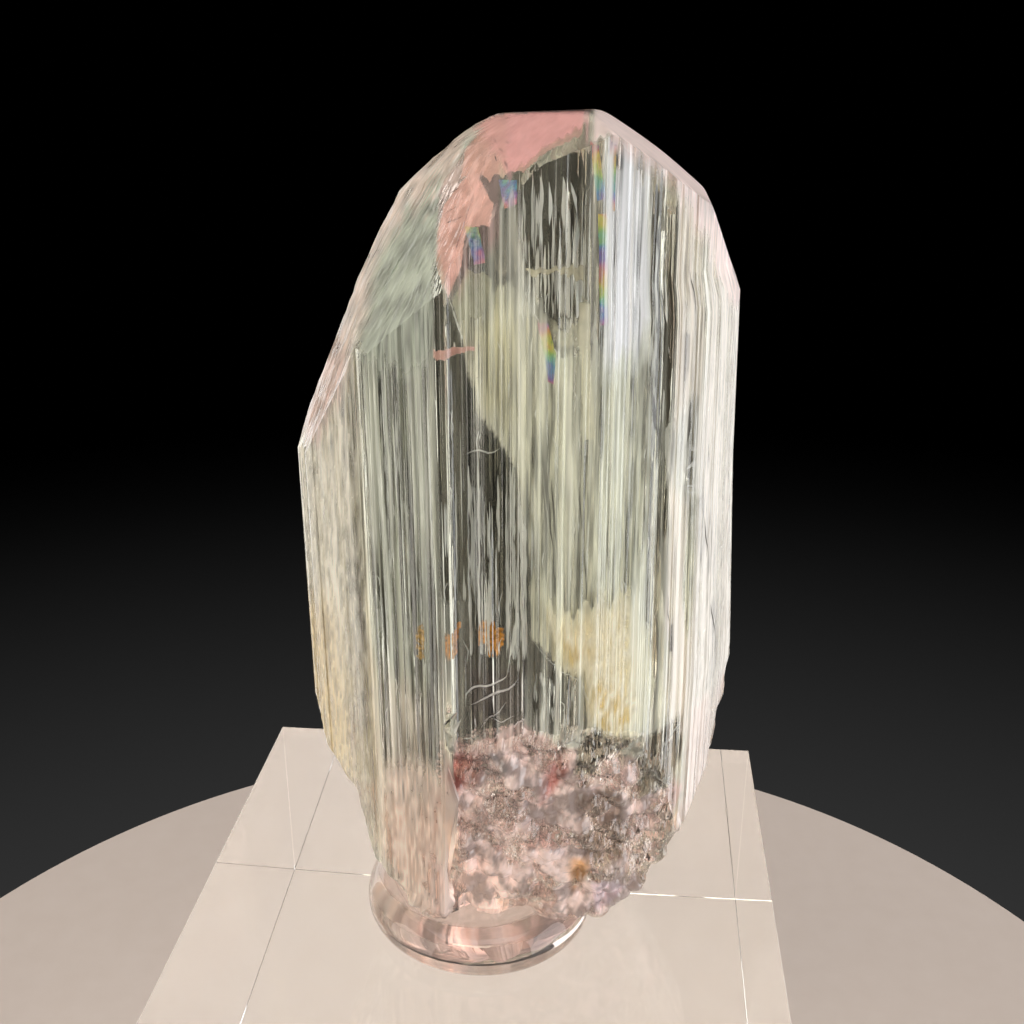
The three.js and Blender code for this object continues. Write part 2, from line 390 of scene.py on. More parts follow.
def striation(s, z):
    """How far the striated sides stand proud, by place along the plan and height."""
    total = np.zeros(np.broadcast(s, z).shape)
    for number, (width, step, tilt, length) in enumerate(STRIPS):
        place = s / width + 0.9 * noise(s / width / 2.3, seed=number)
        cell = np.floor(place)
        across = place - cell - 0.5
        level = noise(cell + 0.5, z / length, seed=10 + number)
        lean = noise(cell + 0.5, z / length, seed=20 + number)
        total = total + 1.5 * step * level + 2 * tilt * lean * across
    return total * plan_rough


corners = np.array(PLAN)
sides = np.roll(corners, -1, axis=0) - corners
side_lengths = np.hypot(*sides.T)
side_normals = np.stack([sides[:, 1], -sides[:, 0]], axis=1) / side_lengths[:, None]
plan_xy, plan_normal, plan_s = [], [], []
for i, (corner, side, length) in enumerate(zip(corners, sides, side_lengths)):
    count = max(3, round(length / (FRONT_PITCH if i < FRONT_SIDES else BACK_PITCH)))
    t = (np.arange(count) + 0.15) / count
    plan_xy.append(corner + side * t[:, None])
    plan_normal.append(np.repeat(side_normals[i:i + 1], count, axis=0))
    plan_s.append(side_lengths[:i].sum() + length * t)
plan_xy, plan_normal, plan_s = np.concatenate(plan_xy), np.concatenate(plan_normal), np.concatenate(plan_s)
plan_rough = 1 - 0.7 * np.clip((plan_xy[:, 0] - 9.6) / 1.2, 0, 1)
COLUMNS = len(plan_s)


def at_height(z):
    """The striated outline's points at a height for each column."""
    proud = striation(plan_s, z)
    x = plan_xy[:, 0] + plan_normal[:, 0] * proud
    y = plan_xy[:, 1] + plan_normal[:, 1] * proud
    return ledged(x, z), y


def inward(edge, pole, height, count):
    """Rows of points from the prism's edge in to a pole, at the height that a surface has there.

    They lie evenly along the slope, and further apart on the underside.
    """
    fine = np.linspace(0, 1, 161)
    xy = edge[None, :, :2] * (1 - fine[:, None, None]) + np.array(pole) * fine[:, None, None]
    z = height(xy[..., 0], xy[..., 1])
    step = np.sqrt((np.diff(xy, axis=0) ** 2).sum(axis=2) + np.diff(z, axis=0) ** 2)
    step = step * (0.15 + ramp(z[1:], 1.0, 2.0))
    run = np.concatenate([np.zeros((1, COLUMNS)), np.cumsum(step, axis=0)])
    shares = np.linspace(0, 1, count + 1)[1:-1]
    places = np.stack([np.interp(shares, column / column[-1], fine) for column in run.T], axis=1)
    made = []
    for t in places[:, :, None]:
        xy = edge[:, :2] * (1 - t) + np.array(pole) * t
        made.append(np.concatenate([xy, height(*xy.T)[:, None]], axis=1))
    return made


def displaced(point_rows, height, amounts, edge_rows=3):
    """Moves the rows square to their surface by amounts, growing from none over the first rows."""
    moved = []
    for number, (row, amount) in enumerate(zip(point_rows, amounts)):
        x, y, _ = row.T
        d = 0.03
        normal = np.stack([height(x - d, y) - height(x + d, y), height(x, y - d) - height(x, y + d),
                           np.full(len(x), 2 * d)], axis=1)
        normal /= np.linalg.norm(normal, axis=1)[:, None]
        moved.append(row + normal * (amount * min(1, (number + 1) / edge_rows))[:, None])
    return moved


BREAK_FLAKES = [
    # height against its size, size in mm, seed
    (0.55, 2.10, 40),
    (0.75, 0.95, 50),
    (0.40, 0.45, 60),
]
HILLOCKS = [
    # height in mm, number to the millimetre across, along and in depth, seed
    (0.045, 3, 1.2, 3, 31),
    (0.035, 8, 2.0, 8, 32),
    (0.020, 15, 4.0, 6, 33),
]


def crumple(row):
    """The hackly break: flakes at three sizes, lower where the striated side runs down into it."""
    x = row[:, 0]
    low = np.clip(8 - row[:, 2], 0, 6)
    strength = (0.2 + 0.8 * ramp(x + 0.3 * low, -3.2, -1.9)) * (0.25 + 0.75 * ramp(-x, -10.4, -9.0))
    return strength * sum(share * flakes(row, size, seed) for share, size, seed in BREAK_FLAKES)


def etch(row):
    """Fine etch hillocks on the crown, strongest on its left."""
    x, y, z = row.T
    left = np.clip((0.5 - x) / 3, 0.03, 1)
    return left * sum(height * noise(x * across + z * along, y * deep, seed=seed)
                      for height, across, along, deep, seed in HILLOCKS)


def inset(row):
    """How far a row of the break lies inside the prism's edge, which its flakes stay within."""
    return np.hypot(*(prism[0] - row)[:, :2].T)


z_top = np.full(COLUMNS, 36.0)
z_foot = np.full(COLUMNS, 6.0)
for _ in range(8):
    z_top = 0.5 * (z_top + crown_height(*at_height(z_top)))
    z_foot = 0.5 * (z_foot + foot_height(*at_height(z_foot)))
prism = []
for t in np.linspace(0, 1, PRISM_ROWS) ** 1.4:
    z = z_foot + (z_top - z_foot) * t
    x, y = at_height(z)
    prism.append(np.stack([x, y, z], axis=1))
crown = inward(prism[-1], CROWN_POLE, crown_height, CROWN_ROWS)
crown = displaced(crown, crown_height, [etch(row) for row in crown])
foot = inward(prism[0], FOOT_POLE, foot_height, FOOT_ROWS)
foot = displaced(foot, foot_height, [np.minimum(crumple(row), 0.7 * inset(row)) for row in foot])
rows = foot[::-1] + prism + crown
poles = np.array([[*FOOT_POLE, foot_height(*FOOT_POLE)], [*CROWN_POLE, crown_height(*CROWN_POLE)]])
points = np.concatenate(rows + [poles])
grid = np.arange(len(rows) * COLUMNS).reshape(len(rows), COLUMNS)
right_of = np.roll(grid, -1, axis=1)
quads = np.stack([grid[:-1], right_of[:-1], right_of[1:], grid[1:]], axis=-1).reshape(-1, 4)
foot_pole, crown_pole = len(points) - 2, len(points) - 1
fans = [(foot_pole, b, a) for a, b in zip(grid[0], right_of[0])]
fans += [(crown_pole, a, b) for a, b in zip(grid[-1], right_of[-1])]

to_part = (Matrix.Translation((0, 0, BLOCK_HIGH.z)) @ Matrix.Rotation(CRYSTAL_TURN, 4, "Z")
           @ Matrix.Scale(MM, 4))


def crystal_object(name, points, faces):
    """A mesh object from points in millimetres in the crystal's own frame."""
    thing = mesh_object(name, points, faces)
    thing.data.transform(to_part)
    return thing


shell = crystal_object("spodumene", points, [tuple(q) for q in quads] + fans)
shell.data.shade_smooth()
shell.data.set_sharp_from_angle(angle=math.radians(5))


def spodumene_material():
    """Spodumene, from clear as glass to milky.

    Haze is the share of light that scatters at the face, which whitens it. Satin is its roughness, from a
    mirror-smooth growth face to an etched one."""
    material, output = new_material("spodumene")
    haze = add_node(material, "ShaderNodeAttribute", {"attribute_name": "haze"})
    satin = add_node(material, "ShaderNodeAttribute", {"attribute_name": "satin"})
    tint = add_node(material, "ShaderNodeAttribute", {"attribute_name": "tint"})
    rough = add_node(material, "ShaderNodeMapRange", Value=satin.outputs["Fac"], To_Min=0.012, To_Max=0.42)
    clear = add_node(material, "ShaderNodeMath", {"operation": "SUBTRACT", "use_clamp": True}, in_0=1.0,
                     in_1=haze.outputs["Fac"])
    shader = add_node(material, "ShaderNodeBsdfPrincipled", Base_Color=tint.outputs["Color"],
                      IOR=SPODUMENE_IOR, Transmission_Weight=clear.outputs[0],
                      Roughness=rough.outputs["Result"])
    return finish_material(material, output, shader)


def paint(thing, name, values):
    """Stores one value for each point of a mesh, for its material to read."""
    values = np.asarray(values, np.float32)
    kind = "FLOAT_COLOR" if values.ndim == 2 else "FLOAT"
    store = thing.data.attributes.new(name, kind, "POINT")
    store.data.foreach_set("color" if values.ndim == 2 else "value", values.ravel())


def distance_in(outline, x, z):
    """How far inside a closed outline each point is; below zero is outside."""
    ends = np.array(outline, float)
    inside = np.zeros(np.shape(x), bool)
    near = np.full(np.shape(x), np.inf)
    for (ax, az), (bx, bz) in zip(ends, np.roll(ends, -1, axis=0)):
        side_x, side_z = bx - ax, bz - az
        run = np.clip(((x - ax) * side_x + (z - az) * side_z) / (side_x ** 2 + side_z ** 2), 0, 1)
        near = np.minimum(near, np.hypot(x - ax - run * side_x, z - az - run * side_z))
        if az != bz:
            inside ^= ((az > z) != (bz > z)) & (x < side_x * (z - az) / side_z + ax)
    return np.where(inside, near, -near)


def front_face(x):
    """How far forward the front faces are at x."""
    front = np.array(PLAN[:FRONT_SIDES + 1])
    return np.interp(x, front[:, 0], front[:, 1])


def back_face(x):
    """How far back the hidden faces are at x."""
    back = np.array(PLAN[FRONT_SIDES:] + PLAN[:1])[::-1]
    return np.interp(x, back[:, 0], back[:, 1])


def zoned(base, zones, x, z):
    """Colour and amounts for points at x and z: each zone is laid over those before it, with torn edges."""
    tear_x = 0.07 * noise(x * 4, z * 0.5, seed=71) + 0.22 * noise(x * 0.8, z * 0.5, seed=72)
    tear_z = (0.15 + 0.75 * ramp(z, 13, 17)) * noise(x * 6, z * 0.05, seed=73)
    tear_z = tear_z + 0.4 * noise(x * 1.5, z * 0.8, seed=74)
    values = np.tile([*linear(base[0]), *base[1:]], (len(x), 1))
    for colour, *amounts, soft, outline in zones:
        tear = min(1, 2 * soft)
        inside = distance_in(outline, x + tear_x * tear, z + tear_z * tear)
        mask = ramp(inside, -soft, soft)[:, None]
        values = values + (np.array([*linear(colour), *amounts]) - values) * mask
    return values


FACE_BASE = ("#e6e6d6", 0.26, 0.06)     # colour, haze and satin where no zone lies, in front and behind
BACK_BASE = ("#ebe8da", 0.11, 0.12)
FACE_ZONES = [
    # colour, haze, satin, edge softness in mm, outline in x and z on the front faces
    ("#efe8d6", 0.62, 0.60, 0.30, [(-9.6, 36), (-5.6, 34), (-5.2, 12), (-6.2, 5), (-9.6, 5)]),
    ("#ecd6aa", 0.62, 0.55, 1.50, [(-9.6, 19), (-7.6, 19), (-6.6, 12), (-6.9, 9), (-9.6, 9)]),
    ("#dfe1ce", 0.34, 0.15, 0.25, [(-5.1, 33.5), (-1.9, 32), (-1.9, 8), (-5.1, 8)]),
    ("#ece0ca", 0.40, 0.30, 1.50, [(-5.3, 16), (-1.9, 16), (-1.9, 6), (-5.3, 6)]),
    ("#e2c6b9", 0.75, 0.60, 0.30, [(-9.6, 27.4), (-9.6, 38), (-6.0, 38), (-5.8, 34.0), (-5.5, 32.3),
                                   (-6.3, 29.9), (-7.6, 27.4)]),
    ("#bcc2b0", 0.94, 0.95, 0.30, [(-5.7, 33.0), (-4.9, 38), (-0.2, 48), (0.9, 48), (1.1, 42),
                                   (-0.2, 40.2), (-1.2, 38.2), (-1.7, 36.4), (-1.9, 32.8),
                                   (-2.8, 31.4), (-4.4, 31.6)]),
    ("#e6d3c4", 0.90, 0.80, 0.40, [(-5.9, 31.5), (-8, 40), (-0.4, 46), (0.4, 42.0), (-0.9, 40.2),
                                   (-2.0, 38.9), (-3.4, 37.6), (-4.3, 36.0), (-5.0, 33.5)]),
    ("#c9c8b6", 0.02, 0.02, 0.06, [(-1.8, 36.2), (-1.2, 34.7), (-0.6, 32.9), (-0.45, 29), (-0.5, 20.7),
                                   (-1.8, 20.7)]),
    ("#c9c8b6", 0.03, 0.02, 0.15, [(-0.6, 28.5), (0.9, 28.3), (1.7, 27.3), (2.3, 22), (2.2, 17),
                                   (-0.6, 17)]),
    ("#f2d4cc", 0.30, 0.10, 0.06, [(-1.4, 39.4), (0.2, 41.4), (1.0, 40.6), (1.0, 37.25), (0.2, 36.0),
                                   (-1.1, 34.7), (-1.6, 36.6)]),
    ("#f8cdc8", 0.45, 0.08, 0.06, [(0.2, 41.4), (1.0, 48), (4.8, 48), (4.5, 41.1), (3.0, 40.4),
                                   (1.4, 39.6), (1.0, 40.4)]),
    ("#c9c8b6", 0.02, 0.02, 0.06, [(1.5, 39.9), (3.0, 41.0), (4.4, 41.8), (4.55, 37.4), (4.5, 34.1),
                                   (3.3, 33.8), (2.5, 35.3), (1.8, 37.3)]),
    ("#ecedda", 0.40, 0.12, 0.45, [(-0.9, 34.7), (0.2, 35.4), (2.2, 34.8), (3.5, 32.8), (6.8, 33.2),
                                   (7.4, 26.8), (7.4, 19.7), (7.6, 15.4), (6.9, 13.5), (5.2, 14.1),
                                   (3.7, 17.8), (2.5, 19.0), (2.3, 23), (1.6, 26.8), (0.8, 29),
                                   (-0.1, 31.3)]),
    # painted highlight: a white, milky patch where the crystal shines brightest
    ("#ffffff", 0.86, 0.12, 0.40, [(5.25, 42), (7.1, 40.5), (7.4, 33.6), (5.4, 32)]),
    ("#efe4d6", 0.46, 0.20, 0.25, [(8.5, 39), (10.0, 37.4), (10.2, 13), (9.0, 12), (8.6, 20)]),
    ("#c9c8b6", 0.03, 0.02, 0.06, [(7.45, 38.5), (7.8, 38.5), (7.95, 23), (7.7, 23)]),
    ("#c9c8b6", 0.03, 0.02, 0.06, [(8.12, 38.3), (8.4, 38.3), (8.5, 24), (8.3, 24)]),
    ("#e6e2d6", 0.42, 0.06, 0.08, [(8.5, 29.2), (9.7, 30.5), (10.3, 28.3), (10.7, 25.2), (9.0, 25.6),
                                   (8.4, 27)]),
    ("#c9c8b6", 0.08, 0.02, 0.08, [(9.6, 25.4), (10.5, 25.4), (10.3, 21), (9.7, 18), (9.4, 21)]),
    ("#e2d8ca", 0.78, 0.50, 0.30, [(10.2, 37), (13.5, 36), (14, 10), (10.6, 8), (9.9, 14)]),
    ("#ffe8e0", 0.98, 0.95, 0.15, [(4.7, 48), (12.5, 47), (14.5, 36), (12.0, 33.4), (10.9, 35.6),
                                   (9.9, 37.5), (8.2, 39.2), (7.0, 40.2), (6.0, 40.9), (4.7, 41.5)]),
    ("#fff6d8", 0.85, 0.60, 0.60, [(3.2, 20), (7.0, 21), (7.6, 15.4), (7.0, 13.6), (5.2, 14.3),
                                   (4.8, 17.0)]),
    ("#ffe6d2", 0.85, 0.90, 0.80, [(-5.0, 11), (-1.6, 11.2), (-0.9, 10), (-0.9, 3), (-3.6, 2), (-5.4, 5)]),
    ("#c9c0b6", 0.02, 0.02, 0.10, [(-0.6, 16.9), (2.0, 17.3), (2.1, 14.8), (0.8, 12.7), (-0.4, 13.6)]),
    ("#e6cdc4", 0.46, 0.15, 0.12, [(-1.3, 13.2), (-0.5, 12.9), (0.4, 13.4), (1.9, 14.6), (3.8, 13.2),
                                   (5.7, 13.6), (7.7, 12.2), (10, 9.8), (8, 4), (4, -1), (-1.1, -1),
                                   (-1.15, 4)]),
    ("#b4736a", 0.30, 0.10, 0.45, [(-1.72, 12.4), (-0.1, 12.1), (-0.2, 10.3), (-1.7, 10.0)]),
    ("#b4736a", 0.30, 0.10, 0.35, [(3.1, 12.2), (3.9, 13.2), (4.1, 12.0), (3.0, 9.8)]),
    ("#c9b4b0", 0.90, 0.35, 0.06, [(1.2, 10.3), (2.2, 10.3), (2.5, 8.9), (3.8, 7.8), (4.3, 7.0),
                                   (3.3, 7.1), (2.1, 8.2)]),
    ("#c2b4ae", 0.85, 0.35, 0.06, [(0.0, 12.2), (0.7, 12.5), (1.4, 11.7), (0.9, 11.2), (0.2, 11.3)]),
    ("#a58c80", 0.34, 0.12, 0.25, [(4.5, 10.7), (6.8, 11.1), (7.0, 6.6), (5.0, 6.9)]),
    ("#8f8a7c", 0.03, 0.02, 0.06, [(4.6, 13.2), (5.2, 14.4), (7.2, 13.6), (7.0, 13.2), (5.7, 12.8),
                                   (5.3, 11.9), (4.5, 11.9)]),
    ("#8f8a7c", 0.05, 0.02, 0.08, [(7.9, 13.5), (9.5, 14.0), (9.8, 12.2), (9.2, 10.1), (7.7, 10.1),
                                   (7.5, 11.2)]),
    ("#dfa873", 0.75, 0.20, 0.30, [(4.5, 6.8), (5.2, 6.9), (5.3, 6.2), (4.9, 5.5), (4.6, 4.8), (4.4, 6.0)]),
    ("#ecd2d4", 0.85, 0.30, 0.08, [(5.4, 5.6), (7.2, 4.9), (6.6, 4.1), (5.7, 3.6)]),
    ("#ffe6da", 0.74, 0.40, 0.60, [(-2.6, 6), (2, 4.6), (4.4, 3.6), (4.4, -1), (-3, -1)]),
    ("#ddc9bb", 0.70, 0.40, 0.40, [(10.1, 14), (13, 14), (12.2, 8), (9.5, 4), (8.0, 4.8), (10, 9)]),
]
GRAIN = [
    # weight, width and length in mm of the streaks: milky, and also lighter in tint as painted highlight
    (0.32, 0.10, 5.0),
    (0.36, 0.26, 9.0),
    (0.32, 0.70, 14.0),
]
DASH = (0.12, 0.45)                     # width and length in mm of the short marks on matt faces
# Sizes in mm of the marks on the crown, and of the milky patches and the specks on the break.
ETCH_SIZES = (0.5, 0.22, 0.12)
PATCH_SIZES = (1.5, 0.7, 0.35)
SPECK_SIZES = (0.7, 0.32, 0.16)


def grain(s, z, seed):
    """Streaks that run along the crystal, from 0 to 1."""
    total = sum(weight * noise(s / width, z / length, seed=seed + k)
                for k, (weight, width, length) in enumerate(GRAIN))
    return np.clip(0.5 + 1.55 * total, 0, 1)


def blotches(place, sizes, seed):
    """Patches of several sizes, from 0 to 1."""
    total = sum(noise(*(place / size).T, seed=seed + k) / (k + 1) for k, size in enumerate(sizes))
    return np.clip(0.5 + 0.6 * total, 0, 1)


x, y, z = points.T
row_number = np.concatenate([np.repeat(np.arange(len(rows)), COLUMNS), [0, len(rows) - 1]])
column_s = np.concatenate([np.tile(plan_s, len(rows)), [0, 0]])
on_prism = ramp(row_number, len(foot) - 6, len(foot)) * ramp(-row_number, -len(foot) - PRISM_ROWS - 3,
                                                              -len(foot) - PRISM_ROWS + 1)
on_foot = ramp(-row_number, -len(foot), -len(foot) + 4)
SIGHTED_FROM = (1.5, -54.1, 45.6)          # mm; the zones are laid out on the front faces as seen from here
plain_x = 2 * x - ledged(x, z)
share = (y - front_face(plain_x)) / (y - SIGHTED_FROM[1])
seen_x = plain_x + (SIGHTED_FROM[0] - plain_x) * share
seen_z = z + (SIGHTED_FROM[2] - z) * share
values = zoned(FACE_BASE, FACE_ZONES, seen_x, seen_z)
behind = ramp(y, 1.0, 2.2)[:, None]
values = values + (np.array([*linear(BACK_BASE[0]), *BACK_BASE[1:]]) - values) * behind
streaks = grain(column_s, z, 80)
etched = 0.12 + 0.75 * ramp(-x, -1.0, 0.5)
matt = ramp(values[:, 5], 0.2, 0.7)
dashes = np.clip(0.5 + 0.9 * noise(column_s / DASH[0], z / DASH[1], seed=88), 0, 1)
streaks = streaks * (1 - 0.7 * matt) + 0.7 * matt * dashes
hillocks = 0.5 + etched * (blotches(points, ETCH_SIZES, 90) - 0.5)
streaks = streaks * on_prism + (1 - on_prism) * hillocks
haze = values[:, 4] * (0.20 + 1.5 * streaks)
patches = blotches(points, PATCH_SIZES, 95)
haze = haze * (1 - on_foot) + on_foot * values[:, 4] * 2.3 * ramp(patches, 0.3, 0.75)
speck = blotches(points, SPECK_SIZES, 120)
fleck = on_foot * ramp(speck, 0.3, 0.75)
# The tint is lighter along the streaks: partly the milky streaks' own whiteness, partly painted highlight
# for light that the striations turn back.
light = (0.56 + 0.68 * streaks) * (1 - on_foot) + on_foot * (0.58 + 0.82 * fleck)
colour = values[:, :4] * light[:, None]
colour[:, 3] = 1
paint(shell, "haze", np.clip(haze, 0, 0.97))
paint(shell, "satin", np.clip(values[:, 5] * (0.7 + 0.6 * streaks), 0, 1))
paint(shell, "tint", colour)
shell.data.materials.append(spodumene_material())
shell.visible_shadow = False
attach(shell, "root")
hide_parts("spodumene_crystal")

# Veils.
# Healed cracks and growth layers inside the crystal: thin milky, pink and yellow films, some torn into
# streaks along it. They are wavy sheets with gaps, just under the faces, in the middle and at the back.


def film_material(name, size, cuts, roughness=0.4, tones=(0.42, 1.34)):
    """A film of tiny bubbles or growth steps, milky and matt.

    Size is its grain in mm along x, y and z, cuts the range in which it goes from gap to full, and tones
    the range of its brightness."""
    material, output = new_material(name)
    place = add_node(material, "ShaderNodeTexCoord")
    scaled = add_node(material, "ShaderNodeMapping", Vector=place.outputs["Object"],
                      Scale=[1 / (s * MM) for s in size])
    fine = add_node(material, "ShaderNodeTexNoise", Vector=scaled.outputs[0], Scale=1.0, Detail=1.5)
    broad = add_node(material, "ShaderNodeTexNoise", Vector=scaled.outputs[0], Scale=0.27, Detail=2.0)
    both = add_node(material, "ShaderNodeMix", Factor=0.5, in_2=fine.outputs["Fac"],
                    in_3=broad.outputs["Fac"])
    cover = add_node(material, "ShaderNodeAttribute", {"attribute_name": "cover"})
    total = add_node(material, "ShaderNodeMath", {"operation": "ADD"}, in_0=both.outputs[0],
                     in_1=cover.outputs["Fac"])
    alpha = add_node(material, "ShaderNodeMapRange", Value=total.outputs[0], From_Min=cuts[0],
                     From_Max=cuts[1])
    tint = add_node(material, "ShaderNodeAttribute", {"attribute_name": "tint"})
    light = add_node(material, "ShaderNodeMapRange", Value=fine.outputs["Fac"], From_Min=0.34,
                     From_Max=0.66, To_Min=tones[0], To_Max=tones[1])
    tone = add_node(material, "ShaderNodeVectorMath", {"operation": "SCALE"}, in_0=tint.outputs["Color"],
                    Scale=light.outputs["Result"])
    shader = add_node(material, "ShaderNodeBsdfPrincipled", Base_Color=tone.outputs[0],
                      Alpha=alpha.outputs["Result"], Roughness=roughness)
    return finish_material(material, output, shader)


streaky_film = film_material("healed_crack_film", (0.13, 0.13, 2.6), (0.88, 1.12))
blotchy_film = film_material("cleavage_film", (0.15, 0.15, 0.20), (0.84, 1.06), 0.25)
clear_film = film_material("growth_step_film", (0.30, 0.30, 0.60), (0.82, 1.22), 0.35, (0.88, 1.10))


def seated(x, z, depth):
    """Moves places seen on the front faces back along the line of sight, to depth under the real surface.

    Also tells which of them have room there."""
    depth = np.broadcast_to(np.asarray(depth, float), x.shape)
    back = depth.copy()

    def behind(chosen):
        share = back[chosen] / (front_face(x[chosen]) - SIGHTED_FROM[1])
        return (x[chosen] + (x[chosen] - SIGHTED_FROM[0]) * share, front_face(x[chosen]) + back[chosen],
                z[chosen] + (z[chosen] - SIGHTED_FROM[2]) * share)

    shallow = np.arange(len(x))
    for _ in range(90):
        deep_x, y, deep_z = behind(shallow)
        poor = crown_height(deep_x, y) - deep_z < 1.6 * depth[shallow]
        poor |= deep_z - foot_height(deep_x, y) < 6 * depth[shallow]
        shallow = shallow[poor]
        if not len(shallow):
            break
        back[shallow] += 0.08
    whole = np.ones(len(x), bool)
    whole[shallow] = False
    deep_x, y, deep_z = behind(np.arange(len(x)))
    return ledged(deep_x, deep_z), y, deep_z, whole


def sheet(name, material, depth, x_span, z_span, columns, levels, base, zones, waves=(0.12, 0.25),
          broken=0.0, follow=False):
    """A film under the front face, or before the back one if depth is below zero.

    It can follow the real surface."""
    x, z = np.meshgrid(np.linspace(*x_span, columns), np.linspace(*z_span, levels))
    x, z = x.ravel(), z.ravel()
    values = zoned(base, zones, x, z)
    whole = np.ones(len(x), bool)
    stretch = ledged(x, z)
    y = front_face(x) + depth if depth > 0 else back_face(x) + depth
    if follow:
        stretch, y, z, whole = seated(x, z, depth)
    y = y + waves[0] * noise(x * 1.4, z * 0.12, seed=len(name))
    y = y + waves[1] * noise(x * 0.4, z * 0.08, seed=7)
    if broken:
        y = y + broken * flakes(np.stack([x, y * 0, z], axis=1), 0.9, len(name))
    room = np.minimum(crown_height(stretch, y) - z, z - foot_height(stretch, y))
    cover = values[:, 4] - (0 if follow else 2 * ramp(-room, -0.9, -0.1))
    keep = ((room > 0.06) & (cover > -0.45) & whole).reshape(levels, columns)
    numbers = np.arange(len(x)).reshape(levels, columns)
    faces = np.stack([numbers[:-1, :-1], numbers[:-1, 1:], numbers[1:, 1:], numbers[1:, :-1]], axis=-1)
    whole = keep[:-1, :-1] & keep[:-1, 1:] & keep[1:, 1:] & keep[1:, :-1]
    faces = faces[whole]
    used, faces = np.unique(faces, return_inverse=True)
    film = crystal_object(name, np.stack([stretch, y, z], axis=1)[used], faces.reshape(-1, 4))
    paint(film, "cover", cover[used])
    paint(film, "tint", values[used, :4])
    film.data.materials.append(material)
    film.data.shade_smooth()
    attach(film, "root")
    return film


GROWTH_FILMS = [
    # colour, cover from 0 to 1, edge softness in mm, outline in x and z
    ("#cfc8b0", 0.46, 0.5, [(-9, 36), (-5.3, 34), (-5.2, 8), (-9, 8)]),
    ("#b4b7a4", 0.40, 0.4, [(-5.2, 34), (-1.9, 34), (-1.9, 8), (-5.2, 8)]),
    ("#f2d8c8", 0.52, 0.8, [(-6, 9), (-1.5, 9), (-1.5, 1), (-6, 1)]),
    ("#8f8d7a", -0.60, 0.06, [(-1.75, 36), (-1.1, 34.7), (-0.6, 32.8), (-0.4, 29), (-0.4, 20.5),
                              (-1.8, 20.5)]),
    ("#a8a690", 0.12, 0.15, [(-0.4, 28.6), (1.0, 28.2), (1.9, 26), (2.3, 20), (2.2, 17), (-0.6, 17)]),
    ("#f6f3e2", 0.56, 0.06, [(-0.95, 34.7), (-0.5, 35.2), (-0.1, 34.8), (0.3, 35.5), (0.9, 35.0),
                             (1.4, 35.6), (2.2, 34.9), (2.5, 34.2), (2.9, 33.4), (3.3, 33.0),
                             (3.6, 32.4), (4.3, 32.6), (6.8, 33.2), (7.3, 26.8), (7.6, 19.7),
                             (8.3, 16.0), (8.1, 14.6), (7.6, 13.8), (6.9, 13.7), (5.7, 14.2),
                             (5.2, 14.7), (5.1, 16.0), (4.7, 17.1), (3.7, 17.6), (3.0, 18.3),
                             (2.5, 19.0), (2.3, 23), (1.9, 26.8), (0.9, 28.6), (0.2, 29.4),
                             (-0.3, 31.3)]),
    ("#e6dfc0", 0.70, 0.80, [(-0.6, 34), (2.0, 34), (1.8, 29.5), (0.4, 29.5)]),
    ("#fff4d8", 0.84, 0.60, [(3.2, 20), (7.0, 21), (7.6, 15.4), (7.0, 13.7), (5.2, 14.6), (4.8, 17.0),
                             (3.5, 17.8)]),
    # painted highlight: a white film under the same brightest patch
    ("#ffffff", 0.80, 0.30, [(5.2, 40.5), (7.2, 39.8), (7.4, 32), (5.4, 31)]),
    ("#8f8d7a", -0.60, 0.06, [(1.7, 39.7), (4.5, 41.2), (4.6, 34.3), (4.3, 32.7), (3.6, 32.4),
                              (2.9, 33.4), (2.2, 34.9)]),
    ("#f2f0e2", 0.60, 0.3, [(8.5, 40), (12.5, 40), (12.5, 12), (8.5, 14)]),
    ("#8f8d7a", -0.40, 0.08, [(7.5, 38.5), (7.8, 38.5), (8.0, 23), (7.7, 23)]),
    ("#8f8d7a", -0.40, 0.08, [(8.15, 38.3), (8.45, 38.3), (8.55, 24), (8.3, 24)]),
    ("#8f8d7a", -0.80, 0.06, [(-0.6, 17), (2.1, 17.4), (2.2, 14.8), (0.8, 12.6), (-0.5, 13.4)]),
    ("#b5ac98", 0.02, 0.06, [(2.3, 19), (3.0, 18.2), (3.7, 17.55), (4.65, 17.0), (5.0, 16.0),
                             (5.15, 14.6), (5.6, 13.8), (4.0, 13.2), (2.3, 14.8)]),
    ("#c9c7b8", 0.20, 0.06, [(8.9, 29.4), (9.6, 30.4), (10.0, 28), (10.3, 26.2), (9.2, 26.2)]),
]
sheet("front_veil", streaky_film, 0.55, (-7.9, 11.6), (1.5, 41.6), 330, 170, ("#e6e0cc", 0.32),
      GROWTH_FILMS, waves=(0.08, 0.10))
# The films behind leave a gap where the crystal is clear, and so give a dark window.
DEEP_FILMS = [
    ("#8f8d7a", -0.60, 0.3, [(-2.2, 37), (5.0, 42), (5.0, 33), (2.9, 31), (0, 31), (2.6, 20),
                             (2.6, 12), (-2.2, 12)]),
]
sheet("back_veil", streaky_film, -0.9, (-7.2, 11.4), (2.5, 41), 220, 100, ("#d2d0be", 0.36), DEEP_FILMS)
sheet("deep_veil", streaky_film, 3.2, (-6.2, 10.4), (3, 41), 200, 100, ("#d8d6c4", 0.26), DEEP_FILMS,
      waves=(0.25, 0.9))
